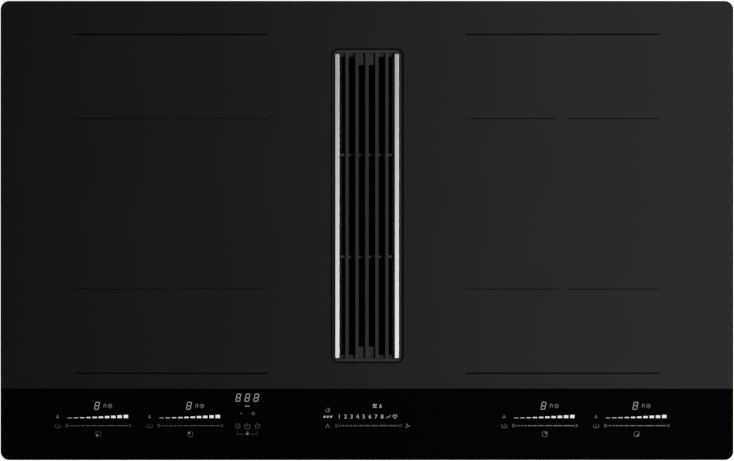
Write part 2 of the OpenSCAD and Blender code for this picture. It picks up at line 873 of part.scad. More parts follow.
module board_trays() {
    color([0.16, 0.16, 0.17]) difference() {
        for (side = zone_sides) translate([side * tray_x, tray_y, 0]) {
            slab(tray_w, tray_d, 6, pan_floor_z, pan_floor_z + tray_t);
            for (x = [-1, 1], y = [-1, 1])
                translate([x * (board_w / 2 - 8), y * (board_d / 2 - 8), pan_floor_z])
                    cylinder(r = standoff_r, h = standoff_h);
        }
        at_driver_ears() tip_hole();
        at_ears() tip_hole();
        for (angle = top_lugs)
            at_lug(angle) tip_hole();
    }
}

// A board with its soldered parts: capacitors, chokes, relays and plugs
module power_board(side) {
    color([0.1, 0.32, 0.2]) translate([side * tray_x, tray_y, 0]) mirror([side < 0 ? 1 : 0, 0, 0]) {
        slab(board_w, board_d, 4, board_z, board_top_z);
        for (i = [0:2])
            translate([-60, -80 + i * 28, board_top_z - past / 2]) cylinder(r = 11, h = 27);
        for (i = [0:1])
            translate([-22, -72 + i * 46, board_top_z - past / 2]) cylinder(r = 17, h = 20);
        for (i = [0:3])
            translate([-66 + i * 26, 34, board_top_z - past / 2]) cube([18, 24, 20]);
        for (i = [0:1])
            translate([-66 + i * 40, 78, board_top_z - past / 2]) cube([30, 26, 16]);
    }
}

// A finned aluminium sink that stands on the board, along the fan's side
module heatsink(side) {
    x = side * (tray_x + board_w / 2 - sink_w / 2 - 2);
    pitch = (sink_w - sink_fin_t) / (sink_fins - 1);
    color([0.72, 0.73, 0.75]) translate([x, tray_y - 20, board_top_z]) {
        translate([-sink_w / 2, -sink_d / 2, 0]) cube([sink_w, sink_d, sink_foot]);
        for (i = [0:sink_fins - 1])
            translate([i * pitch - sink_w / 2, -sink_d / 2, 0]) cube([sink_fin_t, sink_d, sink_h]);
    }
}

module at_fan(side) {
    translate([side * fan_x, fan_y, pan_floor_z]) children();
}

module cooling_fan_frame(side) {
    color([0.12, 0.12, 0.13]) at_fan(side) {
        difference() {
            slab(fan_side, fan_side, 4, 0, fan_h);
            translate([0, 0, -past]) cylinder(r = fan_bore_r, h = fan_h + 2 * past);
        }
        difference() {
            cylinder(r = fan_hub_r, h = fan_strut_h);
            translate([0, 0, -past]) cylinder(r = fan_pin_r + pin_gap, h = fan_strut_h + 2 * past);
        }
        for (i = [0:3])
            rotate(45 + 90 * i) translate([fan_hub_r - past, -fan_strut_w / 2, 0])
                cube([fan_bore_r - fan_hub_r + 2 * past, fan_strut_w, fan_strut_h]);
    }
}

// One pitched blade, cut to the fan's bore
module fan_blade() {
    intersection() {
        rotate([38, 0, 0]) translate([fan_hub_r - past, -8, -0.8]) cube([fan_bore_r, 16, 1.6]);
        translate([0, 0, -6]) difference() {
            cylinder(r = fan_bore_r - fan_tip_gap, h = 12);
            translate([0, 0, -past]) cylinder(r = fan_hub_r - past / 2, h = 12 + 2 * past);
        }
    }
}

module cooling_rotor(side) {
    hub_z = fan_strut_h + 0.6;
    color([0.14, 0.14, 0.15]) at_fan(side) {
        translate([0, 0, hub_z]) cylinder(r = fan_hub_r, h = fan_h - hub_z - 0.5);
        cylinder(r = fan_pin_r, h = fan_h / 2);
        for (i = [0:fan_blades - 1])
            rotate(360 * i / fan_blades) translate([0, 0, hub_z + 5.2]) fan_blade();
    }
}

// Finger guards under the casing's floor: rings on four spokes
module fan_guards() {
    step = (guard_r - guard_bar) / guard_rings;
    color([0.1, 0.1, 0.1])
        for (side = [-1, 1]) translate([side * fan_x, fan_y, pan_z - guard_t]) {
            for (i = [1:guard_rings])
                difference() {
                    cylinder(r = i * step + guard_bar, h = guard_t);
                    translate([0, 0, -past]) cylinder(r = i * step, h = guard_t + 2 * past);
                }
            for (i = [0:1])
                rotate(90 * i) translate([-guard_r + past / 2, -guard_bar / 2, 0])
                    cube([2 * guard_r - past, guard_bar, guard_t]);
        }
}

// The white light box under the control strip, on legs that press it against the glass
module touch_carrier() {
    cell = (carrier_w - carrier_wall) / carrier_cells;
    color([0.9, 0.9, 0.88]) translate([0, carrier_y, 0]) {
        difference() {
            slab(carrier_w, carrier_d, 3, glass_z - carrier_h, glass_z);
            for (i = [0:carrier_cells - 1])
                translate([(i + 0.5) * cell + carrier_wall / 2 - carrier_w / 2, 0, glass_z - carrier_h / 2])
                    cube([cell - carrier_wall, carrier_d - 2 * carrier_wall, carrier_h + 2 * past],
                        center = true);
        }
        for (x = [-1, 1])
            block([x * (carrier_w / 2 - leg_w / 2) - leg_w / 2, -leg_w / 2, pan_floor_z],
                [x * (carrier_w / 2 - leg_w / 2) + leg_w / 2, leg_w / 2, glass_z - carrier_h + past]);
    }
}

module touch_board() {
    color([0.1, 0.3, 0.2]) translate([0, carrier_y, 0])
        slab(carrier_w - 2 * leg_w - 2, carrier_d - 2, 2, touch_z, touch_z + touch_board_t);
}

// Lit digit blocks on the touch board
module display_modules() {
    color([0.85, 0.85, 0.8])
        for (show = displays)
            block([show[0] - show[1] / 2, display_y - display_d / 2, touch_z + touch_board_t],
                [show[0] + show[1] / 2, display_y + display_d / 2, touch_z + touch_board_t + display_h]);
}

module terminal_block() {
    pole = terminal_w / 6;
    color([0.88, 0.88, 0.84]) translate([terminal_x, terminal_y, pan_floor_z]) rotate(90) difference() {
        translate([-terminal_w / 2, -terminal_d / 2, 0]) cube([terminal_w, terminal_d, terminal_h]);
        for (i = [0:5]) {
            translate([(i + 0.5) * pole - terminal_w / 2, 6, terminal_h - 12]) cylinder(r = 3, h = 13);
            translate([(i + 0.5) * pole - terminal_w / 2 - 3.5, -terminal_d / 2 - past, 4]) cube([7, 12, 9]);
        }
    }
}

module cable_gland() {
    color([0.13, 0.13, 0.14]) translate([gland_x, gland_y, 0]) difference() {
        union() {
            translate([0, 0, pan_z - gland_len]) cylinder(r = gland_r, h = gland_len + 6);
            translate([0, 0, pan_z - gland_flange_t]) cylinder(r = gland_nut_r, h = gland_flange_t);
        }
        translate([0, 0, pan_z - gland_len - past]) cylinder(r = gland_bore_r, h = gland_len + 6 + 2 * past);
    }
}

// Places its children at the middle of each screw ear of the extractor's casing
module at_ears() {
    for (ear = ears)
        translate([ear[0], ear[1], 0]) rotate(ear[2]) translate([ear_reach, 0, 0]) children();
}

module ear_pads(z0, z1) {
    at_ears() translate([0, 0, z0]) {
        cylinder(r = ear_r, h = z1 - z0);
        translate([-ear_reach - plenum_wall / 2, -ear_r, 0])
            cube([ear_reach + plenum_wall / 2, 2 * ear_r, z1 - z0]);
    }
}

module at_plenum() {
    translate([plenum_cx, plenum_cy, 0]) children();
}

module plenum_cover() {
    color([0.13, 0.13, 0.14]) difference() {
        union() {
            at_plenum() slab(plenum_w, plenum_d, plenum_r, cover_z, pan_z);
            ear_pads(cover_z, pan_z);
        }
        at_well() slab(shaft_w + 2 * side_gap, shaft_d + 2 * side_gap, shaft_r + side_gap,
            cover_z - past, pan_z + past);
        at_ears() screw_hole(cover_z, pan_z);
        for (angle = top_lugs)
            at_lug(angle) screw_hole(cover_z, pan_z);
    }
}

// Upright rib on the outside of a wall, which lies ahead of it
module wall_rib() {
    z0 = base_z + wall_rib_inset;
    block([-wall_rib_w / 2, -wall_rib_t, z0],
        [wall_rib_w / 2, plenum_wall / 2, cover_z - ear_t - wall_rib_inset]);
}

module wall_ribs() {
    for (i = front_ribs)
        translate([plenum_cx + i * wall_rib_pitch, plenum_y0, 0]) wall_rib();
    for (i = side_ribs)
        translate([plenum_x1, plenum_cy + i * wall_rib_pitch, 0]) rotate(90) wall_rib();
    for (i = case_side_ribs)
        translate([plenum_x0, plenum_cy + i * wall_rib_pitch, 0]) rotate(-90) wall_rib();
}

module plenum_base() {
    lip_room = collector_lip + 2;
    color([0.11, 0.11, 0.12]) difference() {
        union() {
            at_plenum() difference() {
                slab(plenum_w, plenum_d, plenum_r, floor_z, cover_z);
                slab(plenum_w - 2 * plenum_wall, plenum_d - 2 * plenum_wall, plenum_r - plenum_wall,
                    floor_top_z, cover_z + past);
            }
            at_plenum() difference() {
                slab(plenum_w, plenum_d, plenum_r, base_z, floor_z + past / 2);
                slab(plenum_w - 4 * plenum_wall, plenum_d - 4 * plenum_wall, plenum_r - 2 * plenum_wall,
                    base_z - past, floor_z + past);
            }
            at_plenum() for (y = [-1, 1])
                translate([0, y * base_rib_y, (base_z + floor_z + past / 2) / 2])
                    cube([plenum_w - 2 * plenum_wall, plenum_wall, base_rib_h + past / 2], center = true);
            translate([(plenum_x1 + collector_w / 2) / 2, plenum_cy, (base_z + floor_z + past / 2) / 2])
                cube([plenum_wall, plenum_d - 2 * plenum_wall, base_rib_h + past / 2], center = true);
            at_well() collector_slab(collector_gap + coaming_t, floor_z, floor_top_z + coaming_h);
            ear_pads(cover_z - ear_t, cover_z);
            wall_ribs();
        }
        at_well() {
            collector_slab(collector_gap, base_z - past, floor_top_z + coaming_h + past);
            collector_slab(lip_room, base_z - past, floor_z);
        }
        at_ears() screw_hole(cover_z - ear_t, cover_z);
        translate([duct_x, plenum_y1, duct_z])
            cube([duct_w + 2 * side_gap, 4 * plenum_wall, duct_h + 2 * side_gap], center = true);
        for (place = spigot_screws)
            translate([place[0], plenum_y1 - 2 * plenum_wall, place[1]]) rotate([-90, 0, 0])
                cylinder(r = screw_r + screw_gap, h = 3 * plenum_wall);
    }
}

module casing_screws() {
    color([0.7, 0.7, 0.72]) {
        at_ears() screw(0, 0, cover_z - ear_t, ear_t + cover_t + sheet_t + screw_tip);
        at_driver_ears() screw(0, 0, pan_z - ear_t, ear_t + sheet_t + screw_tip);
    }
}

// The scroll's outline grown by an offset: a spiral, then the throat towards the rear
function spiral_r(angle) = scroll_start_r * exp(scroll_growth * (angle - tongue_angle));
function unit(v) = v / norm(v);
function tongue_point(offset) =
    let (
        along = [-sin(tongue_angle), cos(tongue_angle)],
        throat = unit([scroll_left, throat_y] - tongue),
        half = acos(along * throat) / 2
    )
    tongue + unit(along + throat) * offset / sin(half);
function scroll_outline(offset) = concat(
    [[scroll_left - offset, throat_y], tongue_point(offset)],
    [for (i = [1:scroll_steps])
        let (a = tongue_angle + (360 - tongue_angle) * i / scroll_steps)
        [wheel_x + (spiral_r(a) + offset) * cos(a), wheel_y + (spiral_r(a) + offset) * sin(a)]],
    [[scroll_right + offset, throat_y]]
);
function backwards(points) = [for (i = [len(points) - 1:-1:0]) points[i]];

module scroll_wall(z0, z1) {
    translate([0, 0, z0]) linear_extrude(z1 - z0)
        polygon(concat(scroll_outline(duct_t), backwards(scroll_outline(0))));
}

module scroll_plate(z0, z1) {
    translate([0, 0, z0]) linear_extrude(z1 - z0) polygon(scroll_outline(duct_t));
}

// Places its children at a lug outside the spiral
module at_lug(angle) {
    reach = spiral_r(angle) + duct_t + lug_reach;
    translate([wheel_x + reach * cos(angle), wheel_y + reach * sin(angle), 0]) rotate(angle) children();
}

module lugs(angles, z0, z1) {
    for (angle = angles)
        at_lug(angle) difference() {
            translate([0, 0, z0]) {
                cylinder(r = lug_r, h = z1 - z0);
                translate([-lug_reach - duct_t / 2, -lug_r, 0])
                    cube([lug_reach + duct_t / 2, 2 * lug_r, z1 - z0]);
            }
            screw_hole(z0, z1);
        }
}

// Places its children at the screws of the motor's flange
module at_motor_screws() {
    for (i = [0:motor_screws - 1])
        at_wheel(0) rotate(360 * (i + 0.5) / motor_screws) translate([motor_screw_r, 0, 0]) children();
}

module scroll_upper() {
    color([0.17, 0.17, 0.18]) difference() {
        union() {
            scroll_wall(scroll_split_z, scroll_top_z - duct_t / 2);
            scroll_plate(scroll_top_z - duct_t, scroll_top_z);
            lugs(top_lugs, scroll_top_z - lug_t, scroll_top_z);
            lugs(split_lugs, scroll_split_z, scroll_split_z + lug_t);
        }
        at_motor_screws() screw_hole(scroll_top_z - duct_t, scroll_top_z);
    }
}

// The lower half carries the flared mouth that leads the air into the wheel
module scroll_lower() {
    throat = mouth_r - mouth_t;
    rise = wheel_ring_z + wheel_ring_t - scroll_bottom_z;
    flare = mouth_lip_r - throat;
    steps = 6;
    curve = [for (i = [0:steps]) let (t = 90 * i / steps)
        [mouth_lip_r - flare * sin(t), rise * (1 - cos(t))]];
    shell = [for (i = [steps:-1:0]) let (t = 90 * i / steps)
        [mouth_lip_r + mouth_t - flare * sin(t), rise * (1 - cos(t))]];
    color([0.17, 0.17, 0.18]) {
        scroll_wall(scroll_bottom_z + duct_t / 2, scroll_split_z);
        difference() {
            scroll_plate(scroll_bottom_z, scroll_bottom_z + duct_t);
            translate([wheel_x, wheel_y, scroll_bottom_z - past])
                cylinder(r = mouth_lip_r + mouth_t / 2, h = duct_t + 2 * past);
        }
        lugs(split_lugs, scroll_split_z - lug_t, scroll_split_z);
        translate([wheel_x, wheel_y, scroll_bottom_z]) rotate_extrude() {
            polygon(concat(curve, shell));
            translate([mouth_lip_r, 0]) square([mouth_t, duct_t]);
        }
    }
}

module blower_screws() {
    color([0.7, 0.7, 0.72]) {
        for (angle = top_lugs)
            at_lug(angle) screw(0, 0, scroll_top_z - lug_t, lug_t + cover_t + sheet_t + screw_tip);
        for (angle = split_lugs)
            at_lug(angle) screw(0, 0, scroll_split_z - lug_t, 2 * lug_t + screw_tip);
        at_motor_screws() screw(0, 0, stator_flange_z, stator_flange_t + duct_t);
        for (place = spigot_screws)
            translate([place[0], plenum_y1 + spigot_flange_t, place[1]])
                rotate([90, 0, 0]) screw(0, 0, 0, spigot_flange_t + plenum_wall + screw_tip);
    }
}

module at_wheel(z) {
    translate([wheel_x, wheel_y, z]) children();
}

// The stator: a flange under the scroll's upper half, a bearing tube and a slotted core
module motor_stator() {
    color([0.45, 0.45, 0.47]) difference() {
        union() {
            at_wheel(stator_flange_z) cylinder(r = stator_flange_r, h = stator_flange_t);
            at_wheel(tube_z) cylinder(r = stator_tube_r, h = stator_flange_z - tube_z + past);
            at_wheel(stator_z) difference() {
                cylinder(r = stator_r, h = stator_h);
                for (i = [0:stator_slots - 1])
                    rotate(360 * i / stator_slots) translate([stator_tube_r + 5, -3, -past])
                        cube([stator_r - stator_tube_r - 9, 6, stator_h + 2 * past]);
                for (i = [0:stator_slots - 1])
                    rotate(360 * i / stator_slots) translate([stator_r - 6, -1, -past])
                        cube([8, 2, stator_h + 2 * past]);
            }
        }
        at_wheel(tube_z - past)
            cylinder(r = shaft_rad + 2, h = stator_flange_z - tube_z + stator_flange_t + 2 * past);
        for (z = [tube_z - past, stator_flange_z + stator_flange_t - bearing_h])
            at_wheel(z) cylinder(r = bearing_r, h = bearing_h + past);
        at_motor_screws() screw_hole(stator_flange_z, stator_flange_z + stator_flange_t);
    }
}

module motor_bearings() {
    color([0.8, 0.8, 0.82])
        for (z = [tube_z, stator_flange_z + stator_flange_t - bearing_h])
            at_wheel(z) difference() {
                cylinder(r = bearing_r - seat_gap, h = bearing_h);
                translate([0, 0, -past]) cylinder(r = shaft_rad + pin_gap, h = bearing_h + 2 * past);
            }
}

module motor_shaft() {
    color([0.85, 0.85, 0.86]) at_wheel(rotor_z + rotor_wall)
        cylinder(r = shaft_rad, h = stator_flange_z - rotor_z - rotor_wall + 1);
}

// The rotor is a steel cup, open at the top, with a rim that the fan wheel hangs on
module motor_rotor() {
    color([0.5, 0.5, 0.52]) difference() {
        union() {
            at_wheel(rotor_z) cylinder(r = rotor_r, h = rotor_h);
            at_wheel(wheel_plate_z + wheel_plate_t) cylinder(r = rotor_rim_r, h = 2);
        }
        at_wheel(rotor_z + rotor_wall) cylinder(r = rotor_r - rotor_wall, h = rotor_h);
        for (i = [0:rotor_vents - 1])
            at_wheel(rotor_z - past) rotate(360 * i / rotor_vents) translate([rotor_r * 0.55, 0, 0])
                cylinder(r = rotor_vent_r, h = rotor_wall + 2 * past);
    }
}

module rotor_magnets() {
    outer = rotor_r - rotor_wall - seat_gap;
    inner = outer - magnet_t;
    span = 360 / magnets - 4;
    color([0.3, 0.3, 0.33])
        for (i = [0:magnets - 1])
            at_wheel(stator_z - 1) rotate(360 * i / magnets)
                rotate_extrude(angle = span) translate([inner, 0]) square([magnet_t, stator_h + 2]);
}

// A forward-curved blade seen from above, turned ahead at its tip
function blade_point(t, side) =
    let (
        r = blade_inner_r + 0.6 + (wheel_r - blade_inner_r - 1.2) * t,
        angle = blade_sweep * pow(t, 1.6) + side * blade_t / 2 * 180 / PI / r
    )
    [r * cos(angle), r * sin(angle)];

module impeller() {
    steps = 4;
    blade = concat(
        [for (i = [0:steps]) blade_point(i / steps, -1)],
        [for (i = [steps:-1:0]) blade_point(i / steps, 1)]
    );
    color([0.15, 0.15, 0.16]) {
        at_wheel(wheel_plate_z) difference() {
            cylinder(r = wheel_r, h = wheel_plate_t);
            translate([0, 0, -past]) cylinder(r = rotor_r + seat_gap, h = wheel_plate_t + 2 * past);
        }
        at_wheel(wheel_ring_z) difference() {
            cylinder(r = wheel_r, h = wheel_ring_t);
            translate([0, 0, -past]) cylinder(r = blade_inner_r, h = wheel_ring_t + 2 * past);
        }
        at_wheel(wheel_ring_z + wheel_ring_t / 2)
            linear_extrude(wheel_plate_z - wheel_ring_z)
                for (i = [0:blade_count - 1]) rotate(360 * i / blade_count) polygon(blade);
    }
}

module outlet_spigot() {
    color([0.12, 0.12, 0.13]) difference() {
        union() {
            block([duct_x - duct_w / 2, throat_y, scroll_bottom_z],
                [duct_x + duct_w / 2, spigot_y1, scroll_top_z]);
            block([duct_x - duct_w / 2 - spigot_ear, plenum_y1, scroll_bottom_z - spigot_ear],
                [duct_x + duct_w / 2 + spigot_ear, plenum_y1 + spigot_flange_t, scroll_top_z]);
        }
        block([duct_x - duct_w / 2 + duct_t, throat_y - past, scroll_bottom_z + duct_t],
            [duct_x + duct_w / 2 - duct_t, spigot_y1 + past, scroll_top_z - duct_t]);
        translate([duct_x - duct_w / 2 - past, flap_axis_y, flap_axis_z]) rotate([0, 90, 0])
            cylinder(r = flap_pin_r + pin_gap, h = duct_w + 2 * past);
        for (place = spigot_screws)
            translate([place[0], plenum_y1 - past, place[1]])
                rotate([-90, 0, 0]) cylinder(r = screw_r + screw_gap, h = spigot_flange_t + 2 * past);
    }
    color([0.12, 0.12, 0.13])
        translate([duct_x, flap_axis_y - flap_t / 2 - flap_stop_gap - flap_stop_t / 2,
                scroll_bottom_z + (duct_t + flap_stop_h) / 2])
            cube([duct_w - duct_t, flap_stop_t, duct_t + flap_stop_h], center = true);
}

// The flap hangs from its pin and closes the duct when the fan stops
module backdraft_flap() {
    low_z = scroll_bottom_z + duct_t + flap_gap;
    color([0.3, 0.3, 0.31]) difference() {
        union() {
            translate([duct_x - flap_w / 2, flap_axis_y, flap_axis_z]) rotate([0, 90, 0])
                cylinder(r = flap_barrel_r, h = flap_w);
            block([duct_x - flap_w / 2, flap_axis_y - flap_t / 2, low_z],
                [duct_x + flap_w / 2, flap_axis_y + flap_t / 2, flap_axis_z]);
            for (i = [0:flap_ribs - 1])
                translate([duct_x + (i / (flap_ribs - 1) - 1 / 2) * (flap_w - flap_rib_t) - flap_rib_t / 2,
                        flap_axis_y, low_z])
                    cube([flap_rib_t, flap_barrel_r, flap_axis_z - low_z]);
        }
        translate([duct_x - flap_w / 2 - past, flap_axis_y, flap_axis_z]) rotate([0, 90, 0])
            cylinder(r = flap_pin_r + seat_gap, h = flap_w + 2 * past);
    }
}

module flap_pin() {
    color([0.8, 0.8, 0.82])
        translate([duct_x - duct_w / 2, flap_axis_y, flap_axis_z]) rotate([0, 90, 0])
            cylinder(r = flap_pin_r, h = duct_w);
}

// The collector's outline, grown outwards by an offset
module collector_slab(offset, z0, z1) {
    slab(collector_w + 2 * offset, collector_d + 2 * offset, collector_r + offset, z0, z1);
}

module collector_tray() {
    lip_z = floor_z - collector_seal_t - collector_lip_t;
    color([0.1, 0.1, 0.11]) at_well() difference() {
        union() {
            collector_slab(0, lip_z, collector_top_z);
            collector_slab(collector_lip, lip_z, lip_z + collector_lip_t);
        }
        collector_slab(-collector_wall, lip_z + collector_lip_t, collector_top_z + past);
    }
}

module collector_seal() {
    color([0.25, 0.25, 0.25]) at_well() difference() {
        collector_slab(collector_lip - collector_gap, floor_z - collector_seal_t, floor_z);
        collector_slab(2 * collector_gap, floor_z - collector_seal_t - past, floor_z + past);
    }
}

// Places its children at the four screw ears of the driver case
module at_driver_ears() {
    for (x = [-1, 1], y = [-1, 1])
        translate([driver_x + x * driver_ear_x, driver_y + y * driver_ear_y, 0]) children();
}

module driver_case() {
    color([0.14, 0.14, 0.15]) difference() {
        union() {
            translate([driver_x, driver_y, 0]) {
                slab(driver_w, driver_d, driver_r, pan_z - driver_h, pan_z);
                for (x = [-1, 1])
                    translate([x * driver_ear_x, 0, pan_z - ear_t / 2])
                        cube([2 * ear_r, 2 * driver_ear_y, ear_t], center = true);
            }
            at_driver_ears() translate([0, 0, pan_z - ear_t]) cylinder(r = ear_r, h = ear_t);
        }
        translate([driver_x, driver_y, 0])
            slab(driver_w - 2 * driver_wall, driver_d - 2 * driver_wall, driver_r - driver_wall,
                pan_z - driver_h + driver_wall, pan_z + past);
        at_driver_ears() translate([0, 0, pan_z - ear_t - past])
            cylinder(r = screw_r + screw_gap, h = ear_t + 2 * past);
    }
}

module driver_board() {
    z = pan_z - driver_h + driver_wall;
    color([0.1, 0.32, 0.2]) translate([driver_x, driver_y, 0]) {
        for (x = [-1, 1], y = [-1, 1])
            translate([x * (driver_w / 2 - driver_post_in), y * (driver_d / 2 - driver_post_in - 3), z])
                cylinder(r = driver_post_r, h = driver_post_h + 1);
        slab(driver_w - 10, driver_d - 12, driver_post_r, z + driver_post_h, z + driver_post_h + board_t);
        for (i = [-1, 1])
            translate([i * driver_can_x, driver_can_x, z + driver_post_h + 1])
                cylinder(r = driver_can_r, h = driver_can_h);
        translate([-driver_sink_w / 2, -driver_sink_y, z + driver_post_h + 1])
            cube([driver_sink_w, driver_sink_d, driver_sink_h]);
    }
}

glass_top();
worktop_seal();
collar_gasket();
intake_collar();
grille_casting();
grille_rail(-1);  // grille_rail_left
grille_rail(1);  // grille_rail_right
grille_pads();
filter_frame();
filter_mesh(-1);  // filter_mesh_left
filter_mesh(1);  // filter_mesh_right
drip_basin();
hob_pan();
side_springs();
spring_screws();
mica_sheets();
coil(-1, -1);  // coil_front_left
coil(-1, 1);  // coil_rear_left
coil(1, -1);  // coil_front_right
coil(1, 1);  // coil_rear_right
coil_formers();
coil_sensors();
ferrite_bars();
coil_plate(-1);  // coil_plate_left
coil_plate(1);  // coil_plate_right
plate_posts();
power_board(-1);  // power_board_left
power_board(1);  // power_board_right
heatsink(-1);  // heatsink_left
heatsink(1);  // heatsink_right
board_trays();
cooling_fan_frame(-1);  // cooling_fan_frame_left
cooling_fan_frame(1);  // cooling_fan_frame_right
cooling_rotor(-1);  // cooling_rotor_left
cooling_rotor(1);  // cooling_rotor_right
fan_guards();
touch_carrier();
touch_board();
display_modules();
terminal_block();
cable_gland();
plenum_cover();
plenum_base();
casing_screws();
scroll_upper();
scroll_lower();
blower_screws();
motor_stator();
motor_bearings();
motor_shaft();
motor_rotor();
rotor_magnets();
impeller();
outlet_spigot();
backdraft_flap();
flap_pin();
collector_tray();
collector_seal();
driver_case();
driver_board();
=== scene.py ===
"""Finishes, printed controls and studio of a downdraft induction cooktop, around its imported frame."""

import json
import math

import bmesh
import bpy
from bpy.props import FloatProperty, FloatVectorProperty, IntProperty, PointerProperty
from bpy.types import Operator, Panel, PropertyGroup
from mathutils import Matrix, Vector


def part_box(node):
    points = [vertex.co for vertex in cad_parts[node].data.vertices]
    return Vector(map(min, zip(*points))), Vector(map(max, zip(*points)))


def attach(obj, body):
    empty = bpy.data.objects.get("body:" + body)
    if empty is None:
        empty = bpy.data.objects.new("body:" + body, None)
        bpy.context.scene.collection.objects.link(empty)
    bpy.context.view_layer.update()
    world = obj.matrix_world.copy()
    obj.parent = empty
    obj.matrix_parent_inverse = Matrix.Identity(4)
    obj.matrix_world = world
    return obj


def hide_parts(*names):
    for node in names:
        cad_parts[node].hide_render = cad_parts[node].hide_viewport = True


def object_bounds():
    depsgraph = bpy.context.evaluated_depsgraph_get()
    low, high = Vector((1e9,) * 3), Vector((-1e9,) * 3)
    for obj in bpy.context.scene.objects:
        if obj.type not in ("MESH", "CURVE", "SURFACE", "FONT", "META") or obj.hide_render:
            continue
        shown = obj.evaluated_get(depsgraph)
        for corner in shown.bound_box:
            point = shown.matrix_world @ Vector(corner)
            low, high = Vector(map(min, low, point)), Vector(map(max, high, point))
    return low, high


bl_info = {
    "name": "Downdraft induction cooktop",
    "version": (1, 0, 0),
    "blender": (4, 5, 0),
    "location": "3D View > Sidebar > Cooktop",
    "description": "Finishes, printed controls and studio of a downdraft induction cooktop",
    "category": "Add Mesh",
}

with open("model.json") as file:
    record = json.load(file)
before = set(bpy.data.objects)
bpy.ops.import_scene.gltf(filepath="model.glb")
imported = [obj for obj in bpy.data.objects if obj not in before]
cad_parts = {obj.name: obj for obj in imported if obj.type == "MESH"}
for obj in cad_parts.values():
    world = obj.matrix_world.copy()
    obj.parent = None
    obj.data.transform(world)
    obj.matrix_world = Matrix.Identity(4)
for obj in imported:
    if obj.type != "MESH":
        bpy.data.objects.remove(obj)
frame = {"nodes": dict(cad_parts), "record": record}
cad_bounds = [list(corner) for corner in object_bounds()]

MM = 0.001

# Corners of the glass plate, which the finishes and prints are set out from
GLASS_LOW, GLASS_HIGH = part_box("glass_top")


def tint(name, description, default):
    """A colour among the settings."""
    return FloatVectorProperty(
        name=name, description=description, subtype="COLOR", size=3, min=0.0, max=1.0, default=default
    )


def length(name, description, millimetres, low=0.01, high=2000.0):
    """A length among the settings, given in millimetres and kept in metres."""
    return FloatProperty(
        name=name, description=description, unit="LENGTH", subtype="DISTANCE",
        min=low * MM, max=high * MM, default=millimetres * MM,
    )


class GlassSettings(PropertyGroup):
    """Finish of the glass plate."""

    plate: tint("Matt glass", "Colour of the etched glass over the zones", (0.0142, 0.0142, 0.0146))
    strip: tint("Gloss glass", "Colour of the polished control strip", (0.0006, 0.0006, 0.0008))
    strip_depth: length("Control strip", "Depth of the polished strip along the front edge", 81.0)
    matt_roughness: FloatProperty(
        name="Matt roughness", description="Roughness of the etched glass", min=0.2, max=1.0, default=0.62
    )
    gloss_roughness: FloatProperty(
        name="Gloss roughness", description="Roughness of the polished strip", min=0.0, max=0.3, default=0.05
    )


class PrintSettings(PropertyGroup):
    """Print on the glass and the marks that light up through it."""

    black: tint("Line black", "Colour of the lines round the zones", (0.0006, 0.0006, 0.0007))
    lit: tint("Lit white", "Colour of the slider bars", (1.0, 1.0, 1.0))
    raised: length("Print height", "Height of the print above the glass", 0.03, 0.005, 0.2)
    zone_width: length("Zone width", "Length of the lines at the ends of a zone", 219.5, 100.0, 260.0)
    zone_x: length("Zone middle", "Distance of the zones from the middle", 221.7, 150.0, 260.0)
    end_line: length("End line", "Width of the lines at the ends of a zone", 1.5, 0.3, 4.0)
    inner_line: length("Inner line", "Width of the lines inside a zone", 0.75, 0.2, 4.0)
    inner_gap: length("Inner gap", "Gap in the middle of the lines inside a zone", 12.5, 4.0, 40.0)
    slider_x: length("Slider pair", "Distance of each pair of sliders from the middle", 252.8, 200.0, 280.0)
    slider_pitch: length("Slider pitch", "Distance between the two sliders of a pair", 104.1, 90.0, 120.0)
    bars: IntProperty(name="Bars", description="Number of bars on a slider", min=4, max=14, default=10)
    bar_pitch: length("Bar pitch", "Distance from bar to bar", 7.06, 4.0, 10.0)
    bar_width: length("Bar width", "Width of a bar", 4.9, 2.0, 9.0)
    bar_low: length("First bar", "Height of the first bar", 0.3, 0.1, 3.0)
    bar_high: length("Last bar", "Height of the last bar", 3.6, 2.0, 8.0)
    numbers: IntProperty(name="Fan speeds", description="Number of fan speeds", min=3, max=9, default=8)
    number_pitch: length("Number pitch", "Distance from number to number", 6.92, 4.0, 10.0)


class GrilleSettings(PropertyGroup):
    """Finish of the intake grille and what hangs under it."""

    casting: tint("Grille", "Colour of the powder-coated grille", (0.026, 0.026, 0.027))
    rail: tint("Rails", "Colour of the two brushed rails", (0.62, 0.625, 0.63))
    rail_outer: length("Outer rail gap", "Gap between a rail and its seat's outer side", 0.45, 0.0, 1.5)
    rail_inner: length("Inner rail gap", "Gap between a rail and its seat's inner side", 0.15, 0.0, 1.5)
    rail_rear: length("Rear rail gap", "Gap behind a rail in its seat", 0.95, 0.0, 3.0)
    rail_front: length("Front rail gap", "Gap in front of a rail in its seat", 0.55, 0.0, 3.0)
    rail_round: length("Rail rounding", "Radius of the rails' upper edges", 0.5, 0.1, 1.5)
    filter: tint("Filter", "Colour of the aluminium grease filter", (0.50, 0.505, 0.51))
    wire_pitch: length("Wire pitch", "Distance between the wires of the grease filter", 3.4, 2.0, 8.0)
    wire: length("Wire", "Thickness of the wires of the grease filter", 0.5, 0.2, 1.2)


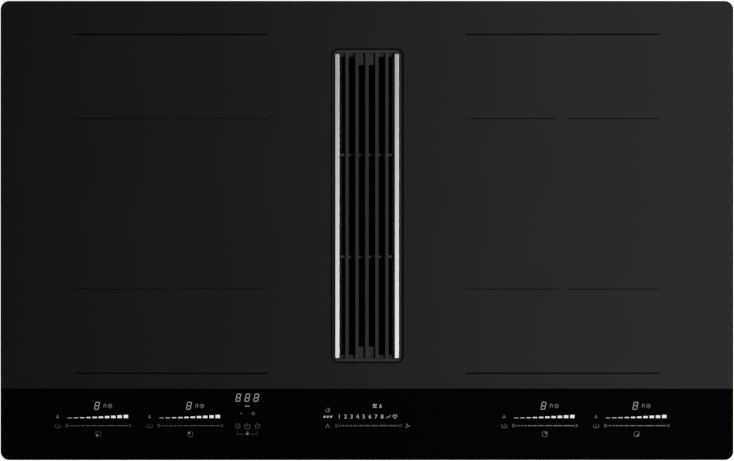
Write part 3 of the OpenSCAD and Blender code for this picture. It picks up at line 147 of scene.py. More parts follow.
class CasingSettings(PropertyGroup):
    """Finish of the casing, the extractor and the works."""

    steel: tint("Galvanised steel", "Colour of the sheet-steel casing", (0.52, 0.53, 0.54))
    plastic: tint("Black plastic", "Colour of the moulded casing", (0.022, 0.022, 0.024))
    inner_plastic: tint("Dark plastic", "Colour of the scroll and the fans", (0.035, 0.035, 0.038))
    # The collar is darker than the black plastic round it: painted shade, so that the gap round the grille
    # shows black
    collar: tint("Collar", "Colour of the shadow-black intake collar", (0.006, 0.006, 0.0065))
    white_plastic: tint("White plastic", "Colour of the light boxes and blocks", (0.62, 0.62, 0.59))
    board: tint("Circuit board", "Colour of the boards' lacquer", (0.012, 0.095, 0.035))
    copper: tint("Litz wire", "Colour of the enamelled copper strands", (0.60, 0.25, 0.11))


class StudioSettings(PropertyGroup):
    """Floor, lamps and camera."""

    floor: tint("Floor", "Colour of the pale floor", (0.80, 0.80, 0.80))
    horizon: tint("Horizon", "Colour of the studio walls", (1.0, 1.0, 1.0))
    ceiling: tint("Ceiling", "Colour of the dark ceiling over the object", (0.034, 0.036, 0.042))
    floor_gap: length("Floor gap", "Room under the casing for the collector's travel", 46.0)
    camera_height: length("Camera height", "Height of the camera over the glass", 6000.0, 1000.0, 20000.0)
    view_width: length("View width", "Width that the camera sees at the glass", 831.2, 400.0, 2000.0)
    key_x: length("Key lamp", "Distance of the key lamp to the right", 500.0, 0.0, 2000.0)
    key_height: length("Key height", "Height of the key lamp above the glass", 750.0, 200.0, 3000.0)
    key_power: FloatProperty(
        name="Key power", description="Power of the key lamp", unit="POWER", min=0.0, max=500.0, default=24.0
    )
    rail_power: FloatProperty(
        name="Rail power", description="Power of the lamps for the bright rails", unit="POWER",
        min=0.0, max=500.0, default=4.2,
    )


SETTINGS = {
    "cooktop_glass": GlassSettings,
    "cooktop_print": PrintSettings,
    "cooktop_grille": GrilleSettings,
    "cooktop_casing": CasingSettings,
    "cooktop_studio": StudioSettings,
}


class Nodes:
    """A node tree in which a node is added, set and linked in one call."""

    def __init__(self, tree):
        self.nodes = tree.nodes
        self.links = tree.links

    def add(self, kind, inputs=None, **values):
        """Each input, by its name or number, gets a socket to be linked to or a value."""
        node = self.nodes.new(kind)
        for key, value in values.items():
            setattr(node, key, value)
        for key, value in (inputs or {}).items():
            if isinstance(value, bpy.types.NodeSocket):
                self.links.new(value, node.inputs[key])
            else:
                node.inputs[key].default_value = value
        return node


class Finish(Nodes):
    """A procedural material, with the few node set-ups that the finishes share."""

    def __init__(self, name, colour, roughness, metallic=0.0, specular=0.5, shade=None, rough=None,
                 bump=None):
        """The last three are grains: features in a metre, detail, then what the method takes."""
        self.material = bpy.data.materials.new(name)
        self.material.use_nodes = True
        super().__init__(self.material.node_tree)
        self.shader = self.nodes["Principled BSDF"]
        self.colour = tuple(colour)
        self.shader.inputs["Base Color"].default_value = (*self.colour, 1.0)
        self.shader.inputs["Roughness"].default_value = roughness
        self.shader.inputs["Metallic"].default_value = metallic
        self.shader.inputs["Specular IOR Level"].default_value = specular
        self.material.diffuse_color = (*self.colour, 1.0)
        self.place = self.add("ShaderNodeTexCoord").outputs["Object"]
        self.surface = None
        for method, values in ((self.shade, shade), (self.rough, rough), (self.bump, bump)):
            if values is not None:
                method(self.grain(*values[:2]), *values[2:])

    def position(self, stretch=None):
        """Object coordinates in metres, stretched along X, Y and Z."""
        if stretch is None:
            return self.place
        return self.add("ShaderNodeMapping", {"Scale": stretch, "Vector": self.place}).outputs["Vector"]

    def along(self, axis):
        """The coordinate along an axis, in metres."""
        return self.add("ShaderNodeSeparateXYZ", {"Vector": self.place}).outputs[axis]

    def grain(self, per_metre, detail=2.0, stretch=None):
        """Noise with that many features in a metre."""
        inputs = {"Scale": per_metre, "Detail": detail, "Vector": self.position(stretch)}
        return self.add("ShaderNodeTexNoise", inputs).outputs["Fac"]

    def cells(self, per_metre, output="Distance", stretch=None):
        """Cells with that many in a metre."""
        inputs = {"Scale": per_metre, "Vector": self.position(stretch)}
        return self.add("ShaderNodeTexVoronoi", inputs).outputs[output]

    def flakes(self, per_metre, stretch=None):
        """Cells with a grey of their own, that many in a metre."""
        colour = self.cells(per_metre, "Color", stretch)
        return self.add("ShaderNodeRGBToBW", {"Color": colour}).outputs["Val"]

    def bands(self, per_metre, axis, distortion=0.0):
        """Lines across an axis or a diagonal, with that many in a metre."""
        inputs = {"Scale": per_metre, "Distortion": distortion, "Vector": self.place}
        return self.add("ShaderNodeTexWave", inputs, bands_direction=axis).outputs["Fac"]

    def span(self, value, low, high, out_low=0.0, out_high=1.0):
        """A value moved from one range to another."""
        inputs = {"Value": value, "From Min": low, "From Max": high, "To Min": out_low, "To Max": out_high}
        return self.add("ShaderNodeMapRange", inputs).outputs["Result"]

    def math(self, operation, first, second):
        return self.add("ShaderNodeMath", {0: first, 1: second}, operation=operation).outputs["Value"]

    def mix(self, amount, first, second):
        """A colour between two colours, each a triple or a socket."""
        inputs = {"Factor": amount}
        for number, value in ((6, first), (7, second)):
            inputs[number] = value if isinstance(value, bpy.types.NodeSocket) else (*value, 1.0)
        return self.add("ShaderNodeMix", inputs, data_type="RGBA").outputs[2]

    def tones(self, amount, darker, lighter):
        """A colour between two shares of the finish's own."""
        low = tuple(part * darker for part in self.colour)
        high = tuple(min(1.0, part * lighter) for part in self.colour)
        return self.mix(amount, low, high)

    def paint(self, colour):
        self.links.new(colour, self.shader.inputs["Base Color"])

    def shade(self, amount, darker, lighter):
        """Mottles the whole finish between two shares of its colour."""
        self.paint(self.tones(amount, darker, lighter))

    def rough(self, amount, low, high):
        """Roughness that follows the middle half of an amount."""
        self.links.new(self.span(amount, 0.25, 0.75, low, high), self.shader.inputs["Roughness"])

    def bump(self, height, millimetres):
        """Raises the surface by a height in millimetres, on top of what was raised before."""
        inputs = {"Strength": 1.0, "Distance": millimetres * MM, "Height": height}
        if self.surface is not None:
            inputs["Normal"] = self.surface
        self.surface = self.add("ShaderNodeBump", inputs).outputs["Normal"]
        self.links.new(self.surface, self.shader.inputs["Normal"])


def dress(finish, *nodes):
    """Gives a finish to parts of the frame."""
    for name in nodes:
        slots = frame["nodes"][name].data.materials
        if len(slots):
            slots[0] = finish.material
        else:
            slots.append(finish.material)


def in_slot(slot):
    """The parts of the frame that a material slot of the record covers."""
    return [part["node"] for part in frame["record"]["subparts"] if part["material_slot"] == slot]


def dress_slots(*pairs):
    """Gives each finish to the parts of the slot beside it."""
    for finish, slot in pairs:
        dress(finish, *in_slot(slot))


def placed(name, mesh, material):
    """Turns a finished mesh into an object of the scene."""
    data = bpy.data.meshes.new(name)
    mesh.to_mesh(data)
    mesh.free()
    piece = bpy.data.objects.new(name, data)
    bpy.context.scene.collection.objects.link(piece)
    data.materials.append(material)
    return piece


# Finishes of the glass, the seals and the grille

# Share of the powder coat's colour that is left on the flanges outside the rails: painted shade, standing in
# for the rails' shadow
FLANGE_SHADE_SHARE = 0.62


def etched_glass(settings):
    """Matt glass over the zones and polished glass along the front edge."""
    finish = Finish("etched_glass", settings.plate, settings.matt_roughness, specular=0.12)
    edge = GLASS_LOW.y + settings.strip_depth
    matt = finish.span(finish.along("Y"), edge - 0.1 * MM, edge + 0.1 * MM)
    cloud = finish.span(finish.grain(9.0, 3.0), 0.3, 0.7)
    finish.paint(finish.mix(matt, settings.strip, finish.tones(cloud, 0.97, 1.03)))
    fine = finish.span(finish.grain(1500.0, 1.0), 0.3, 0.7, settings.matt_roughness - 0.04,
                       settings.matt_roughness + 0.04)
    smudge = finish.span(finish.grain(14.0, 4.0), 0.45, 0.8, settings.gloss_roughness,
                         settings.gloss_roughness + 0.05)
    gap = finish.math("SUBTRACT", fine, smudge)
    finish.links.new(finish.math("ADD", smudge, finish.math("MULTIPLY", matt, gap)),
                     finish.shader.inputs["Roughness"])
    finish.bump(finish.math("MULTIPLY", matt, finish.grain(2200.0, 1.0)), 0.004)
    return finish


def foam():
    finish = Finish("closed_cell_foam", (0.02, 0.02, 0.021), 0.85, specular=0.2,
                    shade=(120.0, 2.0, 0.8, 1.2))
    finish.bump(finish.cells(900.0), 0.15)
    return finish


def rubber():
    return Finish("silicone_rubber", (0.03, 0.03, 0.032), 0.6, specular=0.4,
                  shade=(60.0, 2.0, 0.85, 1.15), bump=(500.0, 2.0, 0.03))


def powder_coat(settings):
    """Powder coat with its fine skin, with painted shade that darkens the flanges outside the rails."""
    finish = Finish("powder_coated_metal", settings.casting, 0.55, specular=0.35)
    finish.bump(finish.grain(1400.0, 2.0), 0.05)
    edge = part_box("grille_rail_right")[1].x - settings.rail_outer
    # Mask of the flanges outside the rails, where the painted shade goes
    flange_shade = finish.span(finish.math("ABSOLUTE", finish.along("X"), 0.0), edge, edge + 0.2 * MM)
    mottle = finish.grain(220.0, 3.0)
    # The second tone is the coat darkened by painted shade, for the flanges
    tones = [finish.tones(mottle, share * 0.92, share * 1.08) for share in (1.0, FLANGE_SHADE_SHARE)]
    finish.paint(finish.mix(flange_shade, *tones))
    finish.rough(finish.grain(90.0), 0.48, 0.62)
    return finish


def brushed_rail(settings):
    """Aluminium brushed along the rail."""
    finish = Finish("brushed_rail", settings.rail, 0.5, metallic=0.75)
    brush = finish.grain(4200.0, 2.0, stretch=(1.0, 0.01, 1.0))
    finish.shade(brush, 0.96, 1.04)
    finish.rough(brush, 0.48, 0.54)
    finish.bump(brush, 0.002)
    return finish


def filter_aluminium(settings):
    finish = Finish("mill_aluminium", settings.filter, 0.4, metallic=1.0, shade=(45.0, 4.0, 0.8, 1.08),
                    rough=(160.0, 3.0, 0.32, 0.5))
    finish.bump(finish.grain(700.0, 3.0, stretch=(1.0, 0.1, 1.0)), 0.02)
    return finish


# Finishes of the casing

def galvanised(settings):
    """Zinc-coated sheet with its flowers."""
    finish = Finish("galvanised_sheet", settings.steel, 0.4, metallic=1.0)
    flowers = finish.flakes(95.0)
    finish.shade(flowers, 0.82, 1.08)
    finish.rough(flowers, 0.34, 0.5)
    finish.bump(finish.grain(260.0, 4.0), 0.02)
    return finish


def moulded(name, colour, roughness=0.5):
    """Moulded plastic with a fine spark-eroded grain."""
    return Finish(name, colour, roughness, specular=0.45, shade=(18.0, 3.0, 0.9, 1.1),
                  rough=(300.0, 2.0, roughness - 0.07, roughness + 0.07), bump=(900.0, 3.0, 0.05))


def plated(name, colour, roughness):
    """Plated or turned steel, with faint rings and handling marks."""
    finish = Finish(name, colour, roughness, metallic=1.0, shade=(400.0, 3.0, 0.88, 1.05),
                    rough=(150.0, 3.0, roughness - 0.06, roughness + 0.1))
    finish.bump(finish.bands(700.0, "Z"), 0.006)
    return finish


def rolled_aluminium(name, axis):
    finish = Finish(name, (0.66, 0.67, 0.68), 0.38, metallic=1.0)
    lines = finish.bands(420.0, axis, 2.0)
    finish.shade(lines, 0.9, 1.04)
    finish.rough(lines, 0.32, 0.46)
    finish.bump(lines, 0.01)
    return finish


# Finishes of the works

def mica_sheet():
    finish = Finish("mica_laminate", (0.42, 0.37, 0.29), 0.45, specular=0.5)
    flakes = finish.flakes(260.0, stretch=(1.0, 1.0, 3.0))
    finish.shade(flakes, 0.75, 1.15)
    finish.rough(flakes, 0.3, 0.6)
    finish.bump(flakes, 0.02)
    return finish


def litz(settings):
    """Enamelled strands twisted into a rope."""
    finish = Finish("litz_wire", settings.copper, 0.36, metallic=1.0)
    twist = finish.bands(260.0, "DIAGONAL", 1.5)
    finish.shade(twist, 0.55, 1.1)
    finish.bump(twist, 0.25)
    finish.rough(finish.grain(350.0), 0.3, 0.45)
    return finish


def pressed_board():
    finish = Finish("pressed_coil_board", (0.055, 0.05, 0.045), 0.7)
    finish.shade(finish.grain(240.0, 4.0, stretch=(1.0, 0.3, 1.0)), 0.8, 1.25)
    finish.bump(finish.grain(500.0, 3.0), 0.06)
    return finish


def ferrite():
    return Finish("sintered_ferrite", (0.04, 0.04, 0.043), 0.55, metallic=0.2,
                  shade=(500.0, 4.0, 0.8, 1.25), bump=(1100.0, 3.0, 0.05))


def circuit_board(settings):
    """Lacquered board with lighter tracks under the lacquer."""
    finish = Finish("circuit_board", settings.board, 0.35, specular=0.5)
    tracks = finish.span(finish.cells(110.0, stretch=(1.0, 0.35, 1.0)), 0.42, 0.46)
    finish.shade(tracks, 0.8, 1.9)
    finish.bump(tracks, 0.03)
    finish.rough(finish.grain(200.0), 0.28, 0.42)
    return finish


def laminations():
    finish = Finish("stator_laminations", (0.30, 0.30, 0.31), 0.45, metallic=0.9)
    sheets = finish.bands(330.0, "Z")
    finish.shade(sheets, 0.7, 1.1)
    finish.bump(sheets, 0.08)
    return finish


def magnet():
    return Finish("ring_magnet", (0.06, 0.06, 0.064), 0.5, metallic=0.3,
                  shade=(300.0, 3.0, 0.85, 1.15), bump=(900.0, 2.0, 0.03))


# Prints on the glass

def black_print(settings):
    return Finish("black_enamel_line", settings.black, 0.2, specular=0.3, shade=(160.0, 3.0, 0.8, 1.2),
                  rough=(400.0, 2.0, 0.15, 0.3), bump=(1500.0, 2.0, 0.003))


# Brightness of each tone of lit print, as a share of white
PRINT_TONES = {"print_bright": 0.75, "print_digit": 0.43, "print_mark": 0.205, "print_track": 0.165,
               "print_dim": 0.068}
# Share of that brightness that the print keeps with its light off
UNLIT_SHARE = 0.05


def print_finish(tone):
    """White print with a light behind it, made once for each tone."""
    made = bpy.data.materials.get(tone)
    if made is not None:
        return made
    white = bpy.context.scene.cooktop_print.lit
    brightness = PRINT_TONES[tone]
    finish = Finish(tone, [part * UNLIT_SHARE * brightness for part in white], 0.4, specular=0.2,
                    shade=(500.0, 2.0, 0.85, 1.15), rough=(600.0, 2.0, 0.35, 0.5))
    finish.shader.inputs["Emission Color"].default_value = (*white, 1.0)
    finish.shader.inputs["Emission Strength"].default_value = brightness
    return finish.material


def around(x, y, radius, start, turn, count, tall=1.0):
    """Points about a middle, from a start angle on, one turn in degrees after another."""
    angles = [math.radians(start + turn * index) for index in range(count)]
    return [(x + radius * math.cos(angle), y + tall * radius * math.sin(angle)) for angle in angles]


def skin(mesh, rings, closed=False):
    """Joins each ring of vertices to the next, and either the last to the first or closes both ends."""
    for first, second in zip(rings, rings[1:] + rings[:1] if closed else rings[1:]):
        for index in range(len(first)):
            after = (index + 1) % len(first)
            mesh.faces.new((first[index], first[after], second[after], second[index]))
    if not closed:
        mesh.faces.new(list(reversed(rings[0])))
        mesh.faces.new(rings[-1])


# Depth of a print's underside in the glass, so that no gap shows, and sharpest corner of a stroke
PRINT_SUNK = 0.004 * MM
SHARPEST = 0.4


class Sketch:
    """Flat marks in millimetres on top of the glass, raised a little as one mesh."""

    def __init__(self, shift=(0.0, 0.0)):
        self.mesh = bmesh.new()
        self.top = GLASS_HIGH.z + bpy.context.scene.cooktop_print.raised
        self.bottom = GLASS_HIGH.z - PRINT_SUNK
        self.shift = shift

    def corners(self, x, y):
        x = (x + self.shift[0]) * MM
        y = (y + self.shift[1]) * MM
        return self.mesh.verts.new((x, y, self.top)), self.mesh.verts.new((x, y, self.bottom))

    def plate(self, outline):
        """A filled outline, its points counter-clockwise."""
        pairs = [self.corners(x, y) for x, y in outline]
        skin(self.mesh, [[bottom for top, bottom in pairs], [top for top, bottom in pairs]])

    def block(self, x0, y0, x1, y1):
        self.plate([(x0, y0), (x1, y0), (x1, y1), (x0, y1)])

    def ribbon(self, points, width, closed=False):
        """A stroke of even width along the points."""
        spots = [Vector(point) for point in points]
        count = len(spots)
        rings = []
        for index, spot in enumerate(spots):
            before = spots[index - 1] if closed or index else spot
            after = spots[(index + 1) % count] if closed or index < count - 1 else spot
            into = (spot - before).normalized() if before != spot else (after - spot).normalized()
            out = (after - spot).normalized() if after != spot else into
            along = (into + out).normalized()
            side = Vector((-along.y, along.x)) * (width / 2 / max(SHARPEST, along.dot(out)))
            rings.append([*self.corners(*(spot + side)), *reversed(self.corners(*(spot - side)))])
        skin(self.mesh, rings, closed)

    def arc(self, x, y, radius, width, start=0.0, end=360.0, tall=1.0, steps=20):
        """A round stroke about a middle, from one angle to another."""
        closed = end - start >= 360.0
        count = steps if closed else steps + 1
        self.ribbon(around(x, y, radius, start, (end - start) / steps, count, tall), width, closed)

    def disc(self, x, y, radius, steps=16):
        self.plate(around(x, y, radius, 0.0, 360.0 / steps, steps))

    def finish(self, name, material, slot="black_glass"):
        """Makes the piece, on the body of the casing."""
        bmesh.ops.recalc_face_normals(self.mesh, faces=self.mesh.faces)
        piece = placed(name, self.mesh, material)
        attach(piece, "root")

    def light(self, name, tone):
        """Makes the piece in a tone of lit print."""
        self.finish(name, print_finish(tone))


# Signs, each drawn about its own middle, in millimetres

DIGIT_WIDTH = 5.0
DIGIT_STROKE = 0.58
# Lean of the digits, as a share of their height
DIGIT_SLANT = 0.19
SEGMENT_ENDS = (
    ((0, 2), (1, 2)), ((1, 2), (1, 1)), ((1, 1), (1, 0)), ((1, 0), (0, 0)),
    ((0, 0), (0, 1)), ((0, 1), (0, 2)), ((0, 1), (1, 1)),
)


def seven_segments(sketch, x, y, height):
    """A digit with all seven segments lit, leaning to the right."""
    width, stroke = DIGIT_WIDTH, DIGIT_STROKE
    inset = stroke * 0.35
    for ends in SEGMENT_ENDS:
        start, stop = [
            Vector(((over - 0.5) * (width - stroke), (up / 2 - 0.5) * (height - stroke)))
            for over, up in ends
        ]
        along = (stop - start).normalized()
        side = Vector((-along.y, along.x)) * stroke / 2
        start += along * inset
        stop -= along * inset
        outline = [
            start, start + along * stroke / 2 - side, stop - along * stroke / 2 - side,
            stop, stop - along * stroke / 2 + side, start + along * stroke / 2 + side,
        ]
        sketch.plate([(x + spot.x + DIGIT_SLANT * spot.y, y + spot.y) for spot in outline])


def gate_sign(sketch, x, y, width, height, stroke, cut):
    """Three sides of an oblong with its two corners cut, open at the top where the height is negative."""
    half = width / 2
    foot = y - height / 2
    top = y + height / 2
    shoulder = top - math.copysign(cut, height)
    sketch.ribbon([(x - half, foot), (x - half, shoulder), (x - half + cut, top), (x + half - cut, top),
                   (x + half, shoulder), (x + half, foot)], stroke)


def clock_sign(sketch, x, y, radius, stroke):
    """A round face with two hands."""
    sketch.arc(x, y, radius, stroke)
    sketch.ribbon([(x, y + radius * 0.6), (x, y), (x + radius * 0.5, y)], stroke)


def stand_sign(sketch, x, y):
    """A foot with a stem and a pointed head."""
    sketch.block(x - 1.5, y - 1.5, x + 1.5, y - 0.9)
    sketch.block(x - 0.25, y - 0.9, x + 0.25, y + 0.7)
    sketch.plate([(x - 0.5, y + 0.7), (x + 0.5, y + 0.7), (x, y + 1.8)])


def trough_sign(sketch, x, y, width, height, stroke):
    """An open tray with a mark over its middle."""
    gate_sign(sketch, x, y, width, -height, stroke, cut=0.8)
    sketch.block(x - stroke / 2, y, x + stroke / 2, y + height / 2 + 0.5)


def growing_track(sketch, x0, x1, y, thick, dashes, growth, gap):
    """Dashes that grow from left to right."""
    total = x1 - x0 - gap * (dashes - 1)
    first = total * (growth - 1) / (growth ** dashes - 1)
    start = x0
    for index in range(dashes):
        dash = first * growth ** index
        sketch.block(start, y - thick / 2, start + dash, y + thick / 2)
        start += dash + gap


def zone_sign(sketch, x, y, size, stroke):
    """A square with rounded corners."""
    half = size / 2
    corner = size * 0.28
    outline = []
    for sign_x, sign_y, start in ((1, -1, 270), (1, 1, 0), (-1, 1, 90), (-1, -1, 180)):
        outline += around(x + sign_x * (half - corner), y + sign_y * (half - corner), corner, start, 30, 4)
    sketch.ribbon(outline, stroke, closed=True)


def quarter_mark(sketch, x, y, size, side, row):
    """The quarter of that square where the zone lies."""
    near = size * 0.06
    far = size * 0.4
    x0, x1 = sorted((x + side * near, x + side * far))
    y0, y1 = sorted((y + row * near, y + row * far))
    sketch.block(x0, y0, x1, y1)


def star_sign(sketch, x, y, radius, stroke):
    """The outline of a star with five points."""
    tips = around(x, y, radius, 90, 72, 5)
    notches = around(x, y, radius / 2, 126, 72, 5)
    sketch.ribbon([spot for pair in zip(tips, notches) for spot in pair], stroke, closed=True)


def fan_sign(sketch, x, y, radius, start):
    """Three blades round a hub, the first one at the start angle."""
    for index in range(3):
        turn = math.radians(start + 120 * index)
        outline = []
        for over, up in around(0.0, 0.0, 1.0, 0.0, 45.0, 8):
            along = radius * (0.58 + 0.4 * over)
            across = radius * (0.18 * up + 0.12 * over)
            outline.append((x + along * math.cos(turn) - across * math.sin(turn),
                            y + along * math.sin(turn) + across * math.cos(turn)))
        sketch.plate(outline)
    sketch.disc(x, y, radius * 0.17)


# The track's row on the control strip, as Y in millimetres from the middle of the glass
TRACK_Y = -221.0


class COOKTOP_OT_glass(Operator):
    """Gives the glass plate its etched and polished finish, and the seals under it theirs"""

    bl_idname = "cooktop.glass"
    bl_label = "Glass plate"

    def execute(self, context):
        dress(etched_glass(context.scene.cooktop_glass), "glass_top")
        dress(foam(), "worktop_seal")
        dress(rubber(), "collar_gasket", *in_slot("silicone"))
        return {"FINISHED"}


class COOKTOP_OT_zone_lines(Operator):
    """Prints the black lines that mark the cooking zones"""

    bl_idname = "cooktop.zone_lines"
    bl_label = "Zone lines"

    end_ys = (222.0, -161.7)
    inner_ys = (126.8, -66.3)

    def execute(self, context):
        settings = context.scene.cooktop_print
        sketch = Sketch()
        half = settings.zone_width / MM / 2
        gap = settings.inner_gap / MM / 2
        thick = settings.end_line / MM / 2
        thin = settings.inner_line / MM / 2
        for side in (-1, 1):
            x = side * settings.zone_x / MM
            for y in self.end_ys:
                sketch.block(x - half, y - thick, x + half, y + thick)
            for y in self.inner_ys:
                sketch.block(x - half, y - thin, x - gap, y + thin)
                sketch.block(x + gap, y - thin, x + half, y + thin)
        sketch.finish("zone_lines", black_print(settings).material)
        return {"FINISHED"}


class COOKTOP_OT_sliders(Operator):
    """Prints the four power sliders with their bars, digits and signs"""

    bl_idname = "cooktop.sliders"
    bl_label = "Power sliders"

    # Places in millimetres: X from the slider's own middle, Y from the middle of the glass
    bar_foot_y = -212.4
    bar_rise = 1.3
    digit_spot = (-0.9, -198.5)
    digit_height = 8.5
    arch_spot = (8.0, -198.5)
    clock_spot = (13.9, -198.7)
    stand_spot = (-45.5, -210.5)
    trough_spot = (-45.3, -221.5)
    track_ends = (-32.6, 34.3)
    zone_spot = (0.6, -230.6)
    zone_size = 5.6

    def execute(self, context):
        settings = context.scene.cooktop_print
        places = [
            (side, side * settings.slider_x / MM + end * settings.slider_pitch / MM / 2)
            for side in (-1, 1) for end in (-1, 1)
        ]
        rows = (-1, 1, 1, -1)
        for index, ((side, x), row) in enumerate(zip(places, rows)):
            self.slider(settings, index + 1, x, side, row)
        return {"FINISHED"}

    def slider(self, settings, number, x, side, row):
        """One slider, whose zone lies on a side and in a row of the plate."""
        bars = Sketch((x, self.bar_foot_y))
        half = (settings.bar_pitch * (settings.bars - 1) + settings.bar_width) / MM / 2
        for index in range(settings.bars):
            share = (index / (settings.bars - 1)) ** self.bar_rise
            left = index * settings.bar_pitch / MM - half
            tall = (settings.bar_low + (settings.bar_high - settings.bar_low) * share) / MM
            bars.block(left, 0, left + settings.bar_width / MM, tall)
        bars.light(f"slider_bars_{number}", "print_bright")

        digit = Sketch((x, 0))
        seven_segments(digit, *self.digit_spot, self.digit_height)
        digit.light(f"slider_digit_{number}", "print_digit")

        marks = Sketch((x, 0))
        gate_sign(marks, *self.arch_spot, width=2.4, height=4.0, stroke=0.44, cut=1.0)
        clock_sign(marks, *self.clock_spot, radius=2.0, stroke=0.42)
        stand_sign(marks, *self.stand_spot)
        quarter_mark(marks, *self.zone_spot, self.zone_size, side, row)
        marks.light(f"slider_marks_{number}", "print_mark")

        dim = Sketch((x, 0))
        trough_sign(dim, *self.trough_spot, width=5.8, height=3.4, stroke=0.4)
        start, end = self.track_ends
        dim.arc(start - 2.4, TRACK_Y, 1.0, 0.45, tall=1.7)
        growing_track(dim, start, end, TRACK_Y, thick=0.85, dashes=10, growth=1.27, gap=1.3)
        dim.ribbon([(end + 1.3, TRACK_Y + 1.6), (end + 3.3, TRACK_Y), (end + 1.3, TRACK_Y - 1.6)], 0.55)
        zone_sign(dim, *self.zone_spot, self.zone_size, stroke=0.36)
        dim.light(f"slider_track_{number}", "print_track" if side > 0 else "print_dim")


class COOKTOP_OT_timer(Operator):
    """Prints the timer's digits and the keys under them"""

    bl_idname = "cooktop.timer"
    bl_label = "Timer"

    # Places in millimetres from the middle of the glass; blocks as left, front, right, rear
    middle_x = -135.5
    digit_pitch = 10.2
    digit_height = 8.7
    digit_y = -189.3
    unit_mark = (-138.1, -199.4, -133.1, -198.3)
    minus_mark = (-143.9, -207.5, -140.9, -206.6)
    plus_mark = (
        (-131.4, -207.65, -126.4, -206.75), (-129.35, -206.75, -128.45, -204.8),
        (-129.35, -209.6, -128.45, -207.65),
    )
    key_y = -221.5
    clock_x = -146.6
    star_x = -124.2
    lock_body = (-136.8, -231.2, -134.2, -229.3)
    lock_lines = (
        ((-146.8, -226.6), (-146.8, -230.6), (-138.6, -230.6)),
        ((-124.3, -226.6), (-124.3, -230.6), (-132.4, -230.6)),
    )

    def execute(self, context):
        digits = Sketch()
        for step in (-1, 0, 1):
            seven_segments(digits, self.middle_x + step * self.digit_pitch, self.digit_y, self.digit_height)
        digits.light("timer_digits", "print_digit")

        marks = Sketch()
        marks.block(*self.unit_mark)
        marks.block(*self.lock_body)
        marks.light("timer_marks", "print_mark")

        dim = Sketch()
        for mark in (self.minus_mark, *self.plus_mark):
            dim.block(*mark)
        clock_sign(dim, self.clock_x, self.key_y, radius=2.7, stroke=0.45)
        dim.arc(self.middle_x, self.key_y - 0.3, 3.1, 0.6, 120, 420)
        dim.block(self.middle_x - 0.3, self.key_y - 0.4, self.middle_x + 0.3, self.key_y + 3.4)
        star_sign(dim, self.star_x, self.key_y, radius=3.4, stroke=0.42)
        for line in self.lock_lines:
            dim.ribbon(line, 0.3)
        dim.arc(self.middle_x, -229.0, 1.1, 0.45, 0, 180, tall=1.2, steps=8)
        dim.light("timer_keys", "print_dim")
        return {"FINISHED"}


class COOKTOP_OT_fan_controls(Operator):
    """Prints the fan's speeds, its track and its signs"""

    bl_idname = "cooktop.fan_controls"
    bl_label = "Fan controls"

    # Places in millimetres from the middle of the glass
    number_x = -7.1
    number_y = -212.9
    number_height = 6.6
    number_thinner = 0.03
    wave_mark = ((6.6, -198.7), (8.2, -196.5), (9.2, -198.9), (11.2, -196.7))
    wave_foot = (6.8, -200.6, 11.0, -199.9)
    cone_mark = ((14.2, -199.5), (16.4, -199.5), (15.3, -196.3))
    cone_foot = (13.9, -200.5, 16.7, -199.9)
    lozenge = ((0.0, -211.9), (2.2, -211.9), (2.9, -209.9), (0.9, -209.9))
    lozenge_x = (-49.6, -45.9, -42.2)
    # X, Y, radius, stroke, start, end, height over width and number of steps of each arc
    moon_arcs = ((-44.4, -203.5, 2.2, 0.45, -110, 110, 1.0, 12), (-45.4, -203.2, 1.9, 0.3, -70, 30, 1.0, 8))
    moon_tip = ((-47.0, -202.7), (-46.4, -204.4), (-45.2, -205.5))
    boost_mark = ((21.8, -212.4), (23.2, -211.2), (24.6, -211.6), (26.6, -209.0))
    shield_mark = ((31.4, -212.9), (29.2, -210.4), (30.4, -208.8), (31.5, -209.8), (33.2, -208.6),
                   (33.9, -210.4))
    roof_mark = ((-46.6, -223.4), (-44.5, -219.0), (-42.4, -223.4))
    fan_spot = (45.8, -221.2)
    track_ends = (-31.8, 35.2)

    def execute(self, context):
        self.speeds(context, context.scene.cooktop_print)

        bright = Sketch()
        bright.ribbon(self.wave_mark, 0.78)
        bright.block(*self.wave_foot)
        bright.plate(self.cone_mark)
        bright.block(*self.cone_foot)
        for left in self.lozenge_x:
            bright.plate([(left + x, y) for x, y in self.lozenge])
        bright.light("fan_indicators", "print_digit")

        marks = Sketch()
        for arc in self.moon_arcs:
            marks.arc(*arc)
        marks.ribbon(self.moon_tip, 0.4)
        marks.ribbon(self.boost_mark, 0.8)
        marks.ribbon(self.shield_mark, 0.9, closed=True)
        marks.light("fan_marks", "print_mark")

        soft = Sketch()
        soft.ribbon(self.roof_mark, 0.45)
        fan_sign(soft, *self.fan_spot, radius=3.0, start=110)
        soft.light("fan_signs", "print_track")

        dim = Sketch()
        start, end = self.track_ends
        dim.arc(start - 2.8, TRACK_Y, 1.1, 0.5, tall=1.6)
        growing_track(dim, start, end, TRACK_Y, thick=1.35, dashes=10, growth=1.2, gap=1.3)
        dim.arc(end + 2.8, TRACK_Y, 1.4, 0.55)
        dim.light("fan_track", "print_dim")
        return {"FINISHED"}

    def speeds(self, context, settings):
        """Plain numbers in Blender's own typeface, turned into one mesh."""
        pieces = []
        start = self.number_x * MM - settings.number_pitch * (settings.numbers - 1) / 2
        for index in range(settings.numbers):
            text = bpy.data.curves.new(f"speed_{index + 1}", type="FONT")
            text.body = str(index + 1)
            text.size = self.number_height * MM
            text.align_x = "CENTER"
            text.offset = -self.number_thinner * MM
            text.extrude = settings.raised / 2
            text.resolution_u = 3
            piece = bpy.data.objects.new(f"speed_{index + 1}", text)
            piece.location = (start + index * settings.number_pitch, self.number_y * MM,
                              GLASS_HIGH.z + settings.raised / 2)
            context.scene.collection.objects.link(piece)
            pieces.append(piece)
        with context.temp_override(active_object=pieces[0], object=pieces[0], selected_objects=pieces,
                                   selected_editable_objects=pieces):
            bpy.ops.object.convert(target="MESH")
            bpy.ops.object.join()
        numbers = pieces[0]
        numbers.name = "fan_speed_numbers"
        numbers.data.materials.clear()
        numbers.data.materials.append(print_finish("print_digit"))
        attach(numbers, "root")


